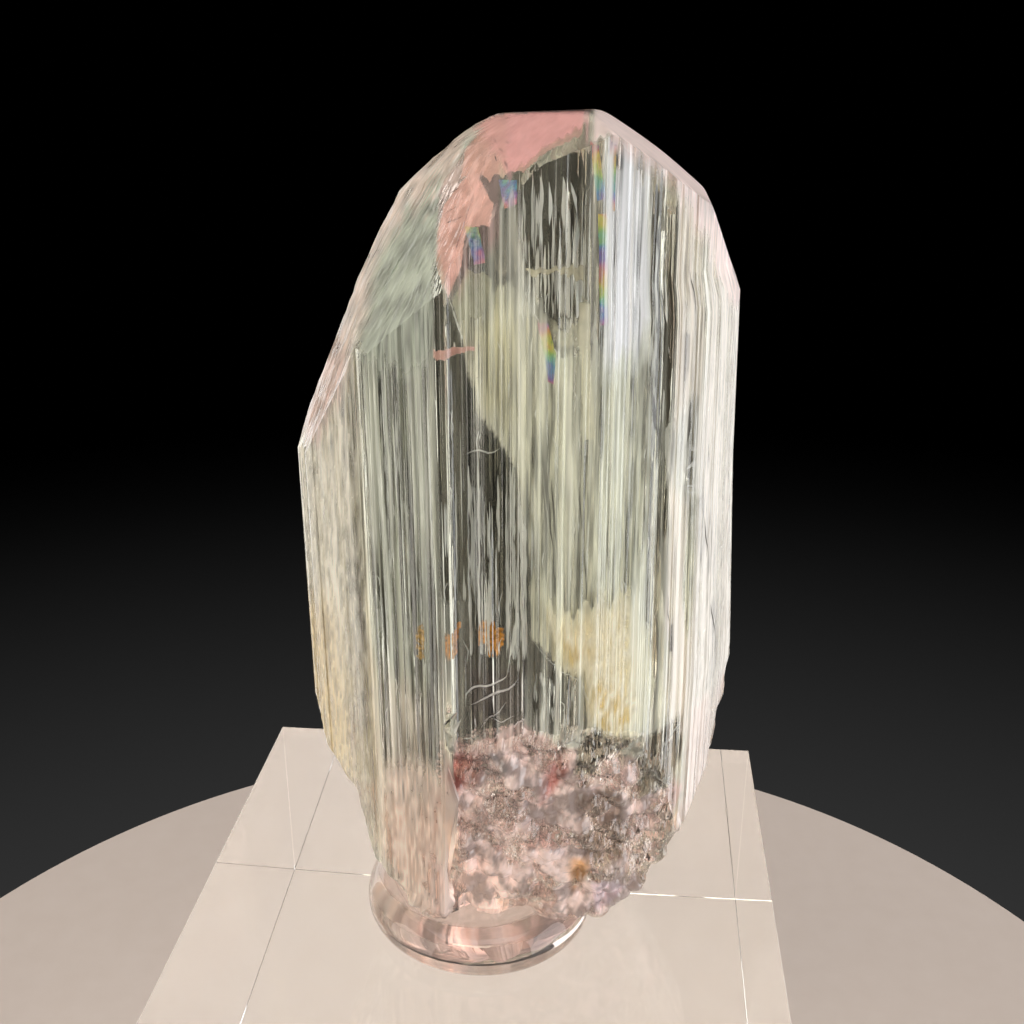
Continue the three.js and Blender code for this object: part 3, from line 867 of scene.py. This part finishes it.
# Pink, cream and silver films close under the facets of the crown.
CROWN_FILMS = [
    ("#a39a8c", 0.45, 0.15, [(0.4, 37.4), (1.2, 38.3), (1.8, 39.4), (2.0, 38.3), (2.1, 36.1), (0.8, 35.7)]),
    ("#b3b09a", 0.75, 0.10, [(-1.1, 34.6), (-0.4, 36.0), (0.8, 35.8), (0.4, 34.0), (-0.8, 33.8)]),
    ("#e4dcc4", 0.62, 0.08, [(2.0, 36.3), (3.1, 36.2), (4.5, 36.4), (4.5, 35.6), (3.4, 35.9), (2.3, 35.8)]),
    ("#d8d3bc", 0.45, 0.10, [(2.3, 35.8), (2.9, 34.4), (3.75, 33.6), (4.25, 34.2), (4.3, 35.2),
                             (4.8, 35.0), (4.7, 33), (3.4, 32.8), (2.4, 34.2)]),
    ("#f4eeda", 1.00, 0.04, [(4.25, 34.8), (4.7, 34.8), (5.1, 28.9), (4.55, 28.9)]),
    ("#f4d6c6", 0.95, 0.10, [(0.2, 42.6), (1.5, 42.6), (1.35, 40.4), (1.4, 39.9), (0.8, 39.6),
                             (-0.6, 39.5)]),
    ("#ffdfd2", 1.00, 0.03, [(-1.25, 38.6), (-0.55, 39.45), (0.1, 39.9), (0.85, 38.6), (0.62, 37.75),
                             (-0.28, 37.6), (-0.6, 36.0), (-1.2, 34.7), (-1.6, 36.1), (-1.56, 37.4)]),
    ("#ffdad6", 1.00, 0.03, [(1.4, 42.8), (4.4, 42.8), (4.35, 41.3), (3.05, 40.65), (2.0, 39.9),
                             (1.4, 39.9), (1.3, 40.7)]),
    ("#f8c4bc", 1.00, 0.03, [(-1.85, 32.66), (-0.05, 32.77), (-0.05, 32.55), (-0.66, 32.4),
                             (-1.4, 32.17), (-1.85, 32.2)]),
]
sheet("crown_films", clear_film, 0.12, (-2.0, 5.3), (28.7, 42.7), 140, 240, ("#d6d2bc", -1.0), CROWN_FILMS,
      waves=(0.0, 0.02), follow=True)
# Dark and pale films close under the right side.
SIDE_FILMS = [
    ("#ecdccf", 0.34, 0.40, [(8.6, 25), (9.6, 25.2), (10.0, 20), (9.8, 13), (8.9, 13)]),
    ("#eed9d0", 0.40, 0.40, [(11.4, 22), (12.2, 22), (12.4, 13.5), (11.4, 13.5)]),
    ("#6e695c", 0.60, 0.06, [(9.9, 25.6), (10.8, 25.1), (11.2, 20.7), (10.6, 21.0), (10.15, 22.4)]),
    ("#8b8474", 0.50, 0.10, [(10.7, 20.0), (11.3, 19.5), (11.65, 15.3), (11.2, 14.5), (10.85, 17.3)]),
    ("#5e5648", 0.52, 0.10, [(8.0, 26.7), (8.4, 26.0), (8.5, 23.4), (8.7, 22.0), (8.4, 20.6),
                             (8.15, 23.1)]),
    ("#4c463c", 0.80, 0.06, [(8.45, 19.8), (8.85, 19.4), (8.95, 17.8), (8.6, 18.1)]),
    ("#8c897c", 0.50, 0.06, [(9.05, 30.0), (9.65, 30.6), (10.05, 28.6), (10.25, 25.6), (9.75, 25.8),
                             (9.3, 26.5), (9.1, 28)]),
    ("#5c574a", 0.80, 0.06, [(8.4, 27.2), (8.45, 28.3), (8.75, 29.0), (8.85, 28.6), (8.65, 27.6),
                             (8.75, 26.7)]),
    ("#6a685c", 0.75, 0.08, [(8.65, 33.4), (9.2, 33.3), (9.25, 31.9), (9.1, 30.7), (8.9, 31.2)]),
]
sheet("side_films", streaky_film, 0.32, (7.7, 12.3), (12.2, 33.6), 110, 220, ("#ecdccf", -1.0), SIDE_FILMS,
      waves=(0.0, 0.02), follow=True)
# A cream film with yellow patches, over the break's upper edge.
POCKET_FILMS = [
    ("#fff8e4", 0.95, 0.50, [(3.0, 21.0), (7.0, 21.6), (7.6, 15.4), (7.0, 13.7), (5.2, 14.6),
                             (4.8, 17.0), (3.5, 17.8)]),
    ("#f6de98", 1.00, 0.30, [(5.3, 16.6), (6.5, 16.4), (7.4, 14.2), (5.5, 14.4)]),
    ("#f8dfa0", 1.00, 0.25, [(3.9, 18.9), (5.1, 18.9), (5.0, 18.2), (4.0, 18.0)]),
]
sheet("pocket_veil", clear_film, 0.36, (2.8, 7.9), (13.4, 22.2), 70, 120, ("#fffaea", -1.0), POCKET_FILMS,
      waves=(0.05, 0.08))

# Iron stains and broken base.
# Rusty films in small cracks near the break, and pale lilac cleavage films behind it. Both are sheets of
# patchy film under the front faces, broken into flat flakes.
BASE_FILMS = [
    ("#ecd4cc", 0.44, 0.2, [(-2.0, 13.4), (1.9, 14.6), (3.8, 13.2), (5.7, 13.6), (10, 9.8), (8, 3),
                            (4, 0), (-2, 0), (-4, 4)]),
    ("#8d4238", 0.34, 0.2, [(-1.8, 12.3), (-0.2, 12.3), (-0.1, 10.9), (-1.0, 10.0), (-1.8, 10.3)]),
    ("#8d4238", 0.30, 0.2, [(3.5, 12.8), (4.0, 13.4), (4.5, 12.0), (3.7, 11.1), (3.0, 10.0), (2.9, 10.7)]),
    ("#9c7f70", 0.30, 0.3, [(4.5, 10.7), (6.8, 11.1), (7.0, 6.6), (5.0, 6.9)]),
    ("#d9c3c2", 0.02, 0.1, [(4.6, 13.2), (5.2, 14.4), (7.2, 13.6), (7.0, 13.2), (5.7, 12.8),
                            (5.3, 11.9), (4.5, 11.9)]),
    ("#d9c3c2", 0.02, 0.1, [(7.9, 13.5), (9.5, 14.0), (9.8, 12.2), (9.2, 10.1), (7.7, 10.1), (7.5, 11.2)]),
    ("#eda13a", 0.70, 0.22, [(-0.2, 19.8), (0.5, 19.9), (1.25, 19.6), (1.2, 18.6), (0.9, 17.9),
                             (0.3, 18.0), (-0.2, 18.8)]),
    ("#e39538", 0.66, 0.15, [(-1.6, 19.6), (-0.8, 19.5), (-0.9, 18.0), (-1.5, 17.9)]),
    ("#e0b060", 0.50, 0.20, [(-3.1, 19.6), (-2.4, 19.6), (-2.4, 17.5), (-3.0, 17.5)]),
    ("#e3a86c", 0.50, 0.3, [(4.5, 6.8), (5.2, 6.9), (5.3, 6.2), (4.9, 5.5), (4.6, 4.8), (4.4, 6.0)]),
]
sheet("base_films", blotchy_film, 0.45, (-4.5, 10.5), (2.0, 20.0), 260, 300, ("#d9c3c2", -1.0), BASE_FILMS,
      waves=(0.05, 0.1), broken=0.4, follow=True)

# Growth tubes and crack edges.
# Hollow tubes and the rims of small cracks run along the crystal. Air in them turns all light back, so they
# look like fine silver threads, bright or dark by how they are tilted. The dark ones are painted shade, as
# matt dark ribbons.
THREADS = [
    # count, x from and to, z from and to, shortest and longest, width, all in mm
    (44, 1.9, 4.5, 34.2, 40.2, 2.2, 6.0, 0.13),
    (10, 3.0, 4.3, 32.9, 34.6, 0.5, 1.4, 0.07),
    (9, -1.75, -0.6, 20.8, 32.0, 1.5, 7.0, 0.07),
    (50, -0.5, 2.2, 18.0, 28.2, 2.5, 9.0, 0.11),
    (26, 7.4, 8.6, 22.0, 39.0, 2.0, 7.0, 0.08),
    (40, 8.6, 10.2, 13.0, 38.0, 1.2, 6.0, 0.09),
    (80, -5.0, -1.9, 8.0, 31.5, 2.0, 9.0, 0.09),
    (20, -6.2, -5.2, 9.0, 31.0, 2.0, 7.0, 0.10),
    (30, 2.4, 5.0, 13.6, 17.8, 0.8, 3.2, 0.09),
    (80, 2.4, 7.4, 18.5, 34.0, 1.5, 8.0, 0.08),
    (20, 5.2, 7.5, 31.0, 40.0, 1.5, 5.0, 0.06),
    (30, 7.5, 10.4, 7.0, 14.5, 0.6, 2.2, 0.10),
]
PAINTED_SHADE_THREADS = [
    # as above, for those that look dark: painted shade
    (60, -5.0, -1.9, 8.0, 32.0, 2.0, 9.0, 0.075),
    (14, -7.6, -5.6, 9.0, 26.0, 1.5, 6.0, 0.045),
    (44, 2.2, 7.4, 20.0, 34.0, 1.5, 8.0, 0.060),
    (20, 5.2, 7.5, 31.0, 40.0, 1.5, 5.0, 0.040),
    (26, 7.4, 10.2, 13.0, 38.0, 1.5, 6.0, 0.060),
    (36, 2.4, 5.0, 13.6, 17.8, 0.6, 2.6, 0.070),
    (10, 1.9, 4.5, 34.2, 40.2, 1.0, 4.0, 0.110),
]
SILVER_STROKES = 150                    # short bright and dark edges of the broken flakes
# painted shade: the dark ones among those edges, as matt dark ribbons
PAINTED_SHADE_STROKES = 110
BREAK_CORNER = (-1.8, 2.5)              # mm, the lowest left place of those edges, and how far they spread
BREAK_SPAN = (11.6, 11.0)
WISPS = 90                              # short bent threads over the prism and the crown
WISP_CORNER = (-5.0, 14)
WISP_SPAN = (15.5, 24)
CRACK_RIMS = [
    # width in mm, then places in x and z
    (0.13, [(-0.42, 15.19), (0.31, 15.73), (0.88, 16.08), (1.45, 16.32), (1.78, 16.85)]),
    (0.10, [(-0.71, 15.04), (-0.65, 15.82), (-0.19, 16.29), (0.39, 16.32), (1.03, 16.75), (1.29, 17.0)]),
    (0.05, [(0.04, 13.98), (0.37, 14.61), (0.87, 14.87), (1.21, 15.58)]),
    (0.05, [(0.44, 14.64), (1.02, 14.41), (1.61, 14.88)]),
    (0.12, [(1.75, 21.5), (1.68, 19.8), (1.53, 18.59), (1.29, 17.09)]),
    (0.10, [(0.72, 12.82), (1.2, 13.85), (1.86, 14.53), (2.19, 14.86)]),
    (0.16, [(9.75, 30.63), (8.83, 29.9), (8.35, 29.2), (8.33, 28.03), (8.56, 26.82), (9.27, 26.04),
            (9.9, 25.87)]),
    (0.20, [(9.74, 30.54), (9.06, 29.47), (8.92, 28.38), (9.1, 27.13), (9.05, 26.22)]),
    (0.22, [(9.9, 30.64), (9.91, 29.51), (9.93, 28.55), (10.23, 27.56), (10.64, 26.35), (10.7, 25.55)]),
    (0.14, [(10.25, 30.38), (10.13, 29.53), (10.53, 28.38), (10.23, 27.66)]),
    (0.30, [(9.59, 28.25), (9.45, 27.85), (9.98, 27.8)]),
    (0.26, [(9.27, 26.93), (9.7, 27.1), (10.02, 27.17), (10.17, 26.72)]),
    (0.14, [(9.22, 26.16), (9.89, 26.03), (10.68, 25.56)]),
    (0.12, [(9.29, 25.89), (9.92, 25.67), (10.63, 25.34)]),
    (0.07, [(9.7, 24.2), (9.96, 25.1), (10.65, 25.21)]),
    (0.06, [(8.8, 26.1), (9.1, 25.4), (9.79, 25.26)]),
    (0.15, [(2.70, 39.8), (2.72, 38.2)]),
    (0.16, [(3.04, 39.6), (3.07, 37.9)]),
    (0.20, [(3.61, 39.8), (3.65, 37.8)]),
    (0.15, [(3.90, 39.6), (4.05, 39.0), (4.16, 38.3)]),
    (0.26, [(9.55, 30.5), (9.2, 29.6), (9.08, 28.3), (9.2, 27.0), (9.5, 26.3)]),
    (0.34, [(9.98, 30.5), (10.08, 29.7), (10.1, 28.9)]),
    (0.22, [(10.05, 28.7), (10.45, 27.9), (10.62, 26.6), (10.6, 25.8)]),
    (0.09, [(10.35, 21.2), (10.85, 20.9), (11.05, 21.4), (11.55, 21.85), (12.1, 21.85)]),
    (0.08, [(10.8, 25.5), (11.6, 25.35), (12.1, 25.6)]),
    (0.08, [(8.37, 26.3), (8.45, 28.1), (8.9, 29.5), (9.65, 30.9)]),
    (0.10, [(-1.49, 36.49), (-1.16, 35.66)]),
    (0.07, [(-1.35, 36.9), (-1.2, 36.2)]),
    (0.08, [(-1.1, 34.7), (-0.75, 33.6), (-0.5, 32.8)]),
    (0.12, [(4.4, 41.9), (4.57, 40.08), (4.70, 38.15), (4.77, 34.93)]),
    (0.22, [(4.95, 34.9), (5.0, 32.0), (5.02, 29.6)]),
    (0.08, [(8.8, 37.5), (9.6, 36.7), (10.67, 35.9), (11.4, 35.3)]),
    (0.08, [(8.44, 39.7), (9.2, 38.5), (9.75, 38.7)]),
    (0.07, [(2.2, 34.9), (2.9, 33.4), (3.6, 32.4), (4.3, 32.6)]),
    (0.05, [(2.5, 19.0), (3.0, 18.3), (3.7, 17.6), (4.7, 17.1), (5.1, 16.0), (5.2, 14.7), (5.7, 14.2),
            (6.9, 13.7)]),
    (0.07, [(-0.5, 27.9), (0.0, 28.2), (0.6, 28.0), (1.0, 28.3)]),
    (0.12, [(8.3, 12.2), (9.2, 13.4), (9.8, 13.9)]),
    (0.10, [(7.6, 13.0), (8.4, 11.4), (9.6, 9.6)]),
]
PAINTED_SHADE_RIMS = [
    # as above: painted shade, as dark ribbons for cracks seen edge on and for dark growth lines
    (0.06, [(-1.4, 37.67), (-0.9, 37.95), (-0.46, 38.11)]),
    (0.05, [(-1.22, 38.2), (-0.57, 38.55)]),
    (0.06, [(-0.97, 39.01), (-0.56, 39.26)]),
    (0.05, [(0.67, 41.75), (1.66, 41.95)]),
    (0.06, [(0.80, 41.15), (0.92, 40.95)]),
    (0.07, [(1.00, 40.75), (1.22, 40.62)]),
    (0.06, [(0.86, 40.50), (0.95, 40.28)]),
    (0.06, [(1.22, 40.30), (1.38, 40.12)]),
    (0.07, [(1.28, 41.05), (1.40, 40.90)]),
    (0.16, [(7.62, 38.3), (7.7, 34), (7.85, 30), (8.0, 26), (8.1, 22)]),
    (0.09, [(8.3, 38.0), (8.35, 34), (8.4, 30)]),
    (0.16, [(9.45, 30.2), (9.42, 28.9), (9.3, 27.9)]),
    (0.15, [(9.62, 27.6), (9.6, 27.1)]),
    (0.15, [(9.55, 26.8), (9.6, 26.3)]),
    (0.10, [(10.05, 27.4), (10.1, 26.6)]),
    (0.12, [(10.15, 29.0), (10.3, 28.5), (10.5, 28.0)]),
    (0.12, [(8.62, 29.0), (8.6, 28.0), (8.7, 27.0)]),
    (0.14, [(9.9, 24.9), (10.2, 24.0), (9.9, 22.8)]),
    (0.07, [(11.4, 27.0), (11.1, 25.8), (10.7, 25.2)]),
    (0.07, [(-5.1, 29), (-5.0, 24), (-4.95, 18), (-4.9, 12)]),
    (0.06, [(-3.6, 28), (-3.55, 22), (-3.5, 15)]),
    (0.08, [(-2.3, 29), (-2.2, 23), (-2.15, 17)]),
    (0.10, [(2.77, 28.5), (2.94, 27.3), (3.04, 26.2), (3.12, 25.0)]),
    (0.09, [(3.0, 27.6), (3.1, 26.2), (3.21, 24.8), (3.34, 23.6)]),
    (0.08, [(3.2, 27.2), (3.33, 25.8), (3.44, 24.4), (3.52, 23.5)]),
    (0.07, [(2.88, 26.7), (2.98, 25.3), (3.13, 24.3)]),
    (0.05, [(3.42, 27.7), (3.53, 26.3), (3.61, 25.1)]),
    (0.06, [(3.32, 23.2), (3.43, 22.2), (3.46, 21.3)]),
    (0.05, [(3.52, 23.7), (3.6, 22.6), (3.59, 21.7)]),
    (0.06, [(4.36, 27.6), (4.48, 26.1), (4.6, 24.7)]),
    (0.05, [(4.73, 23.9), (4.81, 22.7), (4.86, 21.4)]),
    (0.30, [(7.79, 35.3), (8.04, 33.6), (8.15, 32.3), (8.27, 30.7), (8.38, 29.3)]),
    (0.16, [(7.38, 32.2), (7.55, 30.4), (7.83, 28.7), (8.08, 26.7)]),
    (0.16, [(7.92, 26.0), (8.14, 24.5), (8.29, 23.3), (8.48, 22.2)]),
    (0.24, [(8.29, 23.3), (8.48, 22.2), (8.53, 20.7), (8.71, 19.3), (8.75, 18.2)]),
    (0.14, [(9.28, 36.3), (9.45, 34.9), (9.5, 33.4)]),
    (0.12, [(8.9, 33.1), (9.12, 32.0), (9.23, 31.0)]),
    (0.16, [(10.28, 25.3), (10.45, 23.9), (10.66, 22.5), (10.67, 21.2)]),
    (0.10, [(10.07, 25.5), (10.2, 24.1), (10.35, 22.5)]),
    (0.20, [(10.77, 20.0), (11.13, 18.3), (11.37, 16.6)]),
]


def strand(path, width, tilt, depth):
    """The middle line of a thin ribbon that narrows to both ends, half its width, and how deep it lies."""
    path = np.array(path, float)
    count = max(4, int(np.hypot(*np.diff(path, axis=0).T).sum() / 0.25))
    at = np.linspace(0, len(path) - 1, count)
    x, z = (np.interp(at, range(len(path)), path[:, k]) for k in range(2))
    x = x + 0.12 * width * np.sin(z * 4 + tilt * 9)
    run = np.gradient(np.stack([x, z], axis=1), axis=0)
    run /= np.linalg.norm(run, axis=1)[:, None]
    half = 0.5 * width * np.sin(np.linspace(0.03, 0.97, count) * math.pi) ** 1.1
    flat = math.cos(tilt)
    wide = np.stack([run[:, 1] * flat, np.full(count, math.sin(tilt)), -run[:, 0] * flat], axis=1)
    return x, z, wide * half[:, None], np.full(count, depth)


def strands(name, material, specs):
    """One mesh of many ribbons, each given as path, width, tilt and depth.

    Those that would reach a face are left out."""
    ribbons = [strand(*spec) for spec in specs]
    x, z, wide, depth = (np.concatenate(parts) for parts in zip(*ribbons))
    x, y, z, whole = seated(x, z, depth)
    middle = np.stack([x, y, z], axis=1)
    for side in (middle - wide, middle + wide):
        sx, sy, sz = side.T
        whole &= (crown_height(sx, sy) - sz > 0.06) & (sz - foot_height(sx, sy) > 0.12)
    sides = np.stack([middle - wide, middle + wide], axis=1)
    points, faces, start = [], [], 0
    for ribbon in ribbons:
        part = slice(start, start + len(ribbon[0]))
        start = part.stop
        if whole[part].all() and np.abs(np.diff(y[part])).max() < 0.6:
            first = len(points)
            points += list(sides[part].reshape(-1, 3))
            faces += [(i, i + 1, i + 3, i + 2) for i in range(first, len(points) - 2, 2)]
    piece = crystal_object(name, points, faces)
    piece.data.materials.append(material)
    piece.data.shade_smooth()
    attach(piece, "root")
    return piece


def silver_material():
    """Air film: total reflection makes it a mirror, a little soft, so it looks silver."""
    material, output = new_material("air_film")
    shader = add_node(material, "ShaderNodeBsdfPrincipled", Base_Color=linear("#ffffff"), Metallic=0.3,
                      Roughness=0.34)
    return finish_material(material, output, shader)


def painted_shade_rim_material():
    """Painted shade: a dark matt colour for a crack seen edge on, which lets no light through to the eye.
    """
    material, output = new_material("crack_painted_shade")
    shader = add_node(material, "ShaderNodeBsdfPrincipled", Base_Color=linear("#4a443b"), Roughness=0.3)
    return finish_material(material, output, shader)


def scattered(table, seed):
    """Straight threads at random places in each box of a table."""
    specs = []
    for group, (count, x0, x1, z0, z1, short, long, width) in enumerate(table):
        for i in range(count):
            a, b, c, d, e = (float(chance(i, group + seed, k)) for k in range(5))
            length = short + (long - short) * c * c
            left = x0 + (x1 - x0) * a
            top = z0 + length / 2 + (z1 - z0 - length / 2) * b
            lean = 0.05 * (d - 0.5)
            path = [(left, top), (left + lean, top - length / 2), (left + 2 * lean, max(top - length, z0))]
            specs.append((path, width * (0.5 + e), 1.3 * (d - 0.5), 0.30 + 0.5 * e))
    return specs


def strokes(count, seed):
    """Short bent edges in all directions over the break."""
    specs = []
    for i in range(count):
        a, b, c, d, e = (float(chance(i, seed, k)) for k in range(5))
        left, height = BREAK_CORNER[0] + BREAK_SPAN[0] * a, BREAK_CORNER[1] + BREAK_SPAN[1] * b
        length, way = 0.22 + 0.7 * c * c, 1.0 + 1.6 * (d - 0.5)
        run_x, run_z = length * math.cos(way), length * math.sin(way)
        path = [(left, height), (left + 0.6 * run_x, height + 0.4 * run_z), (left + run_x, height + run_z)]
        specs.append((path, 0.04 + 0.06 * e, 0.6 * (e - 0.5), 0.30))
    return specs


thread_specs = scattered(THREADS, 0)
for i in range(WISPS):
    a, b, c, d, e = (float(chance(i, 50, k)) for k in range(5))
    left, top, length = WISP_CORNER[0] + WISP_SPAN[0] * a, WISP_CORNER[1] + WISP_SPAN[1] * b, 0.5 + 1.3 * c
    bend = 0.5 * (d - 0.5)
    path = [(left, top), (left + bend + 0.1 * (e - 0.5), top - length * 0.4),
            (left + bend * 0.6, top - length)]
    thread_specs.append((path, 0.035 + 0.03 * e, 0.8 * (e - 0.5), 0.25))
strands("growth_tubes", silver_material(), thread_specs)
rim_specs = [(path, width, 0.25 * (-1) ** i, 0.24) for i, (width, path) in enumerate(CRACK_RIMS)]
strands("crack_rims", silver_material(), rim_specs + strokes(SILVER_STROKES, 61))
# Painted shade: the dark cracks, threads and flake edges are matt dark ribbons.
painted_shade_specs = [(path, width, 0.0, 0.10) for width, path in PAINTED_SHADE_RIMS]
painted_shade_specs += scattered(PAINTED_SHADE_THREADS, 20) + strokes(PAINTED_SHADE_STROKES, 62)
strands("cracks_painted_shade", painted_shade_rim_material(), painted_shade_specs)

# Rainbow flakes.
# Very thin air gaps on cleavage planes, where light breaks into bands of colour along the crystal.
RAINBOWS = [
    # corners in x and z
    [(5.00, 38.4), (5.36, 38.4), (5.50, 34.0), (5.19, 33.9)],
    [(4.62, 41.1), (4.95, 41.0), (5.30, 39.0), (4.95, 38.9)],
    [(5.40, 41.2), (5.66, 41.1), (5.68, 38.5), (5.48, 38.5)],
    [(-0.38, 37.7), (0.17, 37.7), (0.41, 36.3), (-0.05, 36.2)],
    [(1.00, 39.6), (1.75, 39.6), (1.70, 38.7), (1.21, 38.5)],
    [(2.56, 33.9), (3.01, 33.9), (3.36, 32.6), (2.86, 32.6)],
    [(2.86, 32.6), (3.36, 32.6), (3.28, 31.3), (3.04, 31.4)],
]
BAND_RUN = 2.4 * MM
BAND_WOBBLE = 0.5 * MM
FLAKE_STEPS = 8
SPECTRUM = ["#8f7ac8", "#6f9fd8", "#7cc8b4", "#a8d070", "#e8d868", "#e8a070", "#d884a8", "#8f7ac8"]


def rainbow_material():
    """Interference colours, soft but vivid. They come round about every 2.4 mm along the crystal."""
    material, output = new_material("cleavage_rainbow")
    place = add_node(material, "ShaderNodeTexCoord")
    parts = add_node(material, "ShaderNodeSeparateXYZ", Vector=place.outputs["Object"])
    wobble = add_node(material, "ShaderNodeTexNoise", Vector=place.outputs["Object"], Scale=1 / BAND_WOBBLE,
                      Detail=1.0)
    climb = add_node(material, "ShaderNodeMath", {"operation": "MULTIPLY"}, in_0=parts.outputs["Z"],
                     in_1=1 / BAND_RUN)
    drift = add_node(material, "ShaderNodeMath", {"operation": "MULTIPLY_ADD"}, in_0=wobble.outputs["Fac"],
                     in_1=0.7, in_2=climb.outputs[0])
    turn = add_node(material, "ShaderNodeMath", {"operation": "FRACT"}, in_0=drift.outputs[0])
    bands = add_node(material, "ShaderNodeValToRGB", Fac=turn.outputs[0])
    stops = bands.color_ramp.elements
    stops[0].position, stops[0].color = 0.0, linear(SPECTRUM[0])
    stops[1].position, stops[1].color = 1.0, linear(SPECTRUM[-1])
    for i, colour in enumerate(SPECTRUM[1:-1], 1):
        stops.new(i / (len(SPECTRUM) - 1)).color = linear(colour)
    torn = add_node(material, "ShaderNodeMapping", Vector=place.outputs["Object"],
                    Scale=(1 / (0.06 * MM), 1 / (0.06 * MM), 1 / (0.8 * MM)))
    gaps = add_node(material, "ShaderNodeTexNoise", Vector=torn.outputs[0], Scale=1.0, Detail=1.0)
    alpha = add_node(material, "ShaderNodeMapRange", Value=gaps.outputs["Fac"], From_Min=0.32, From_Max=0.5,
                     To_Min=0.45, To_Max=0.95)
    shader = add_node(material, "ShaderNodeBsdfPrincipled", Base_Color=bands.outputs["Color"],
                      Roughness=0.3, Alpha=alpha.outputs["Result"])
    return finish_material(material, output, shader)


flake_points, flake_faces = [], []
for outline in RAINBOWS:
    (ax, az), (bx, bz), (cx, cz), (dx, dz) = outline
    for row in range(FLAKE_STEPS + 1):
        t = row / FLAKE_STEPS
        for x, z in ((ax + (dx - ax) * t, az + (dz - az) * t), (bx + (cx - bx) * t, bz + (cz - bz) * t)):
            stretch, y, deep_z, _ = seated(np.array([x]), np.array([z]), 0.09)
            flake_points.append((float(stretch[0]), float(y[0]), float(deep_z[0])))
        if row:
            n = len(flake_points)
            flake_faces.append((n - 4, n - 3, n - 1, n - 2))
rainbow = crystal_object("rainbow_flakes", flake_points, flake_faces)
rainbow.data.materials.append(rainbow_material())
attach(rainbow, "root")

# Mounting gel.
# A bead of clear soft gel squeezed out round the crystal's foot, with a rounded rim and a wet shine. It is
# modelled as one smooth ring-shaped drop, turned from its section.
GEL_IOR = 1.47
GEL_PROFILE = [
    # share of the radius and of the height, from the block out over the crest to the middle
    (0.950, 0.00), (0.985, 0.08), (1.000, 0.22), (0.998, 0.40), (0.975, 0.60), (0.930, 0.80), (0.870, 0.93),
    (0.800, 0.99), (0.730, 1.00), (0.660, 0.95), (0.600, 0.87), (0.540, 0.79), (0.470, 0.73), (0.380, 0.70),
    (0.250, 0.68), (0.120, 0.68),
]
GEL_SIDES = 144
GEL_LIFT = 0.01 * MM
GEL_LOW, GEL_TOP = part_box("mounting_gel")


def gel_material():
    """Soft clear gel: wet and glossy, faintly warm, and not quite as clear as the acrylic."""
    material, output = new_material("clear_gel")
    shader = add_node(material, "ShaderNodeBsdfPrincipled", Base_Color=linear("#e6d8d2"), IOR=GEL_IOR,
                      Transmission_Weight=0.96, Roughness=0.02)
    return finish_material(material, output, shader)


profile = np.array(GEL_PROFILE)
fine = np.linspace(0, len(profile) - 1, 56)
profile = np.stack([np.interp(fine, range(len(profile)), profile[:, k]) for k in range(2)], axis=1)
for _ in range(3):
    profile[1:-1] = 0.25 * profile[:-2] + 0.5 * profile[1:-1] + 0.25 * profile[2:]
middle = (GEL_LOW + GEL_TOP) / 2
reach = (GEL_TOP.x - GEL_LOW.x) / 2
tall = GEL_TOP.z - GEL_LOW.z - GEL_LIFT
gel_points = []
for r, h in profile:
    for i in range(GEL_SIDES):
        turn = 2 * math.pi * i / GEL_SIDES
        swell = 1 - 0.012 * (1 + math.sin(2 * turn + 0.6)) - 0.008 * (1 + math.sin(3 * turn + 2))
        sag = 1 - 0.06 * (1 + math.sin(turn * 2 - 0.8)) * h
        out = reach * r * swell
        gel_points.append((middle.x + out * math.cos(turn), middle.y + out * math.sin(turn),
                           GEL_LOW.z + GEL_LIFT + tall * h * sag))
gel_points.append((middle.x, middle.y, GEL_LOW.z + GEL_LIFT + tall * 0.66))
gel_faces = [list(range(GEL_SIDES - 1, -1, -1))]
for ring in range(len(profile) - 1):
    for i in range(GEL_SIDES):
        j = (i + 1) % GEL_SIDES
        low, high = ring * GEL_SIDES, (ring + 1) * GEL_SIDES
        gel_faces.append((low + i, low + j, high + j, high + i))
last = (len(profile) - 1) * GEL_SIDES
gel_faces += [(last + i, last + (i + 1) % GEL_SIDES, len(gel_points) - 1) for i in range(GEL_SIDES)]
gel = mesh_object("gel_bead", gel_points, gel_faces)
gel.data.shade_smooth()
gel.data.materials.append(gel_material())
gel.visible_shadow = False
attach(gel, "root")
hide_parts("mounting_gel")
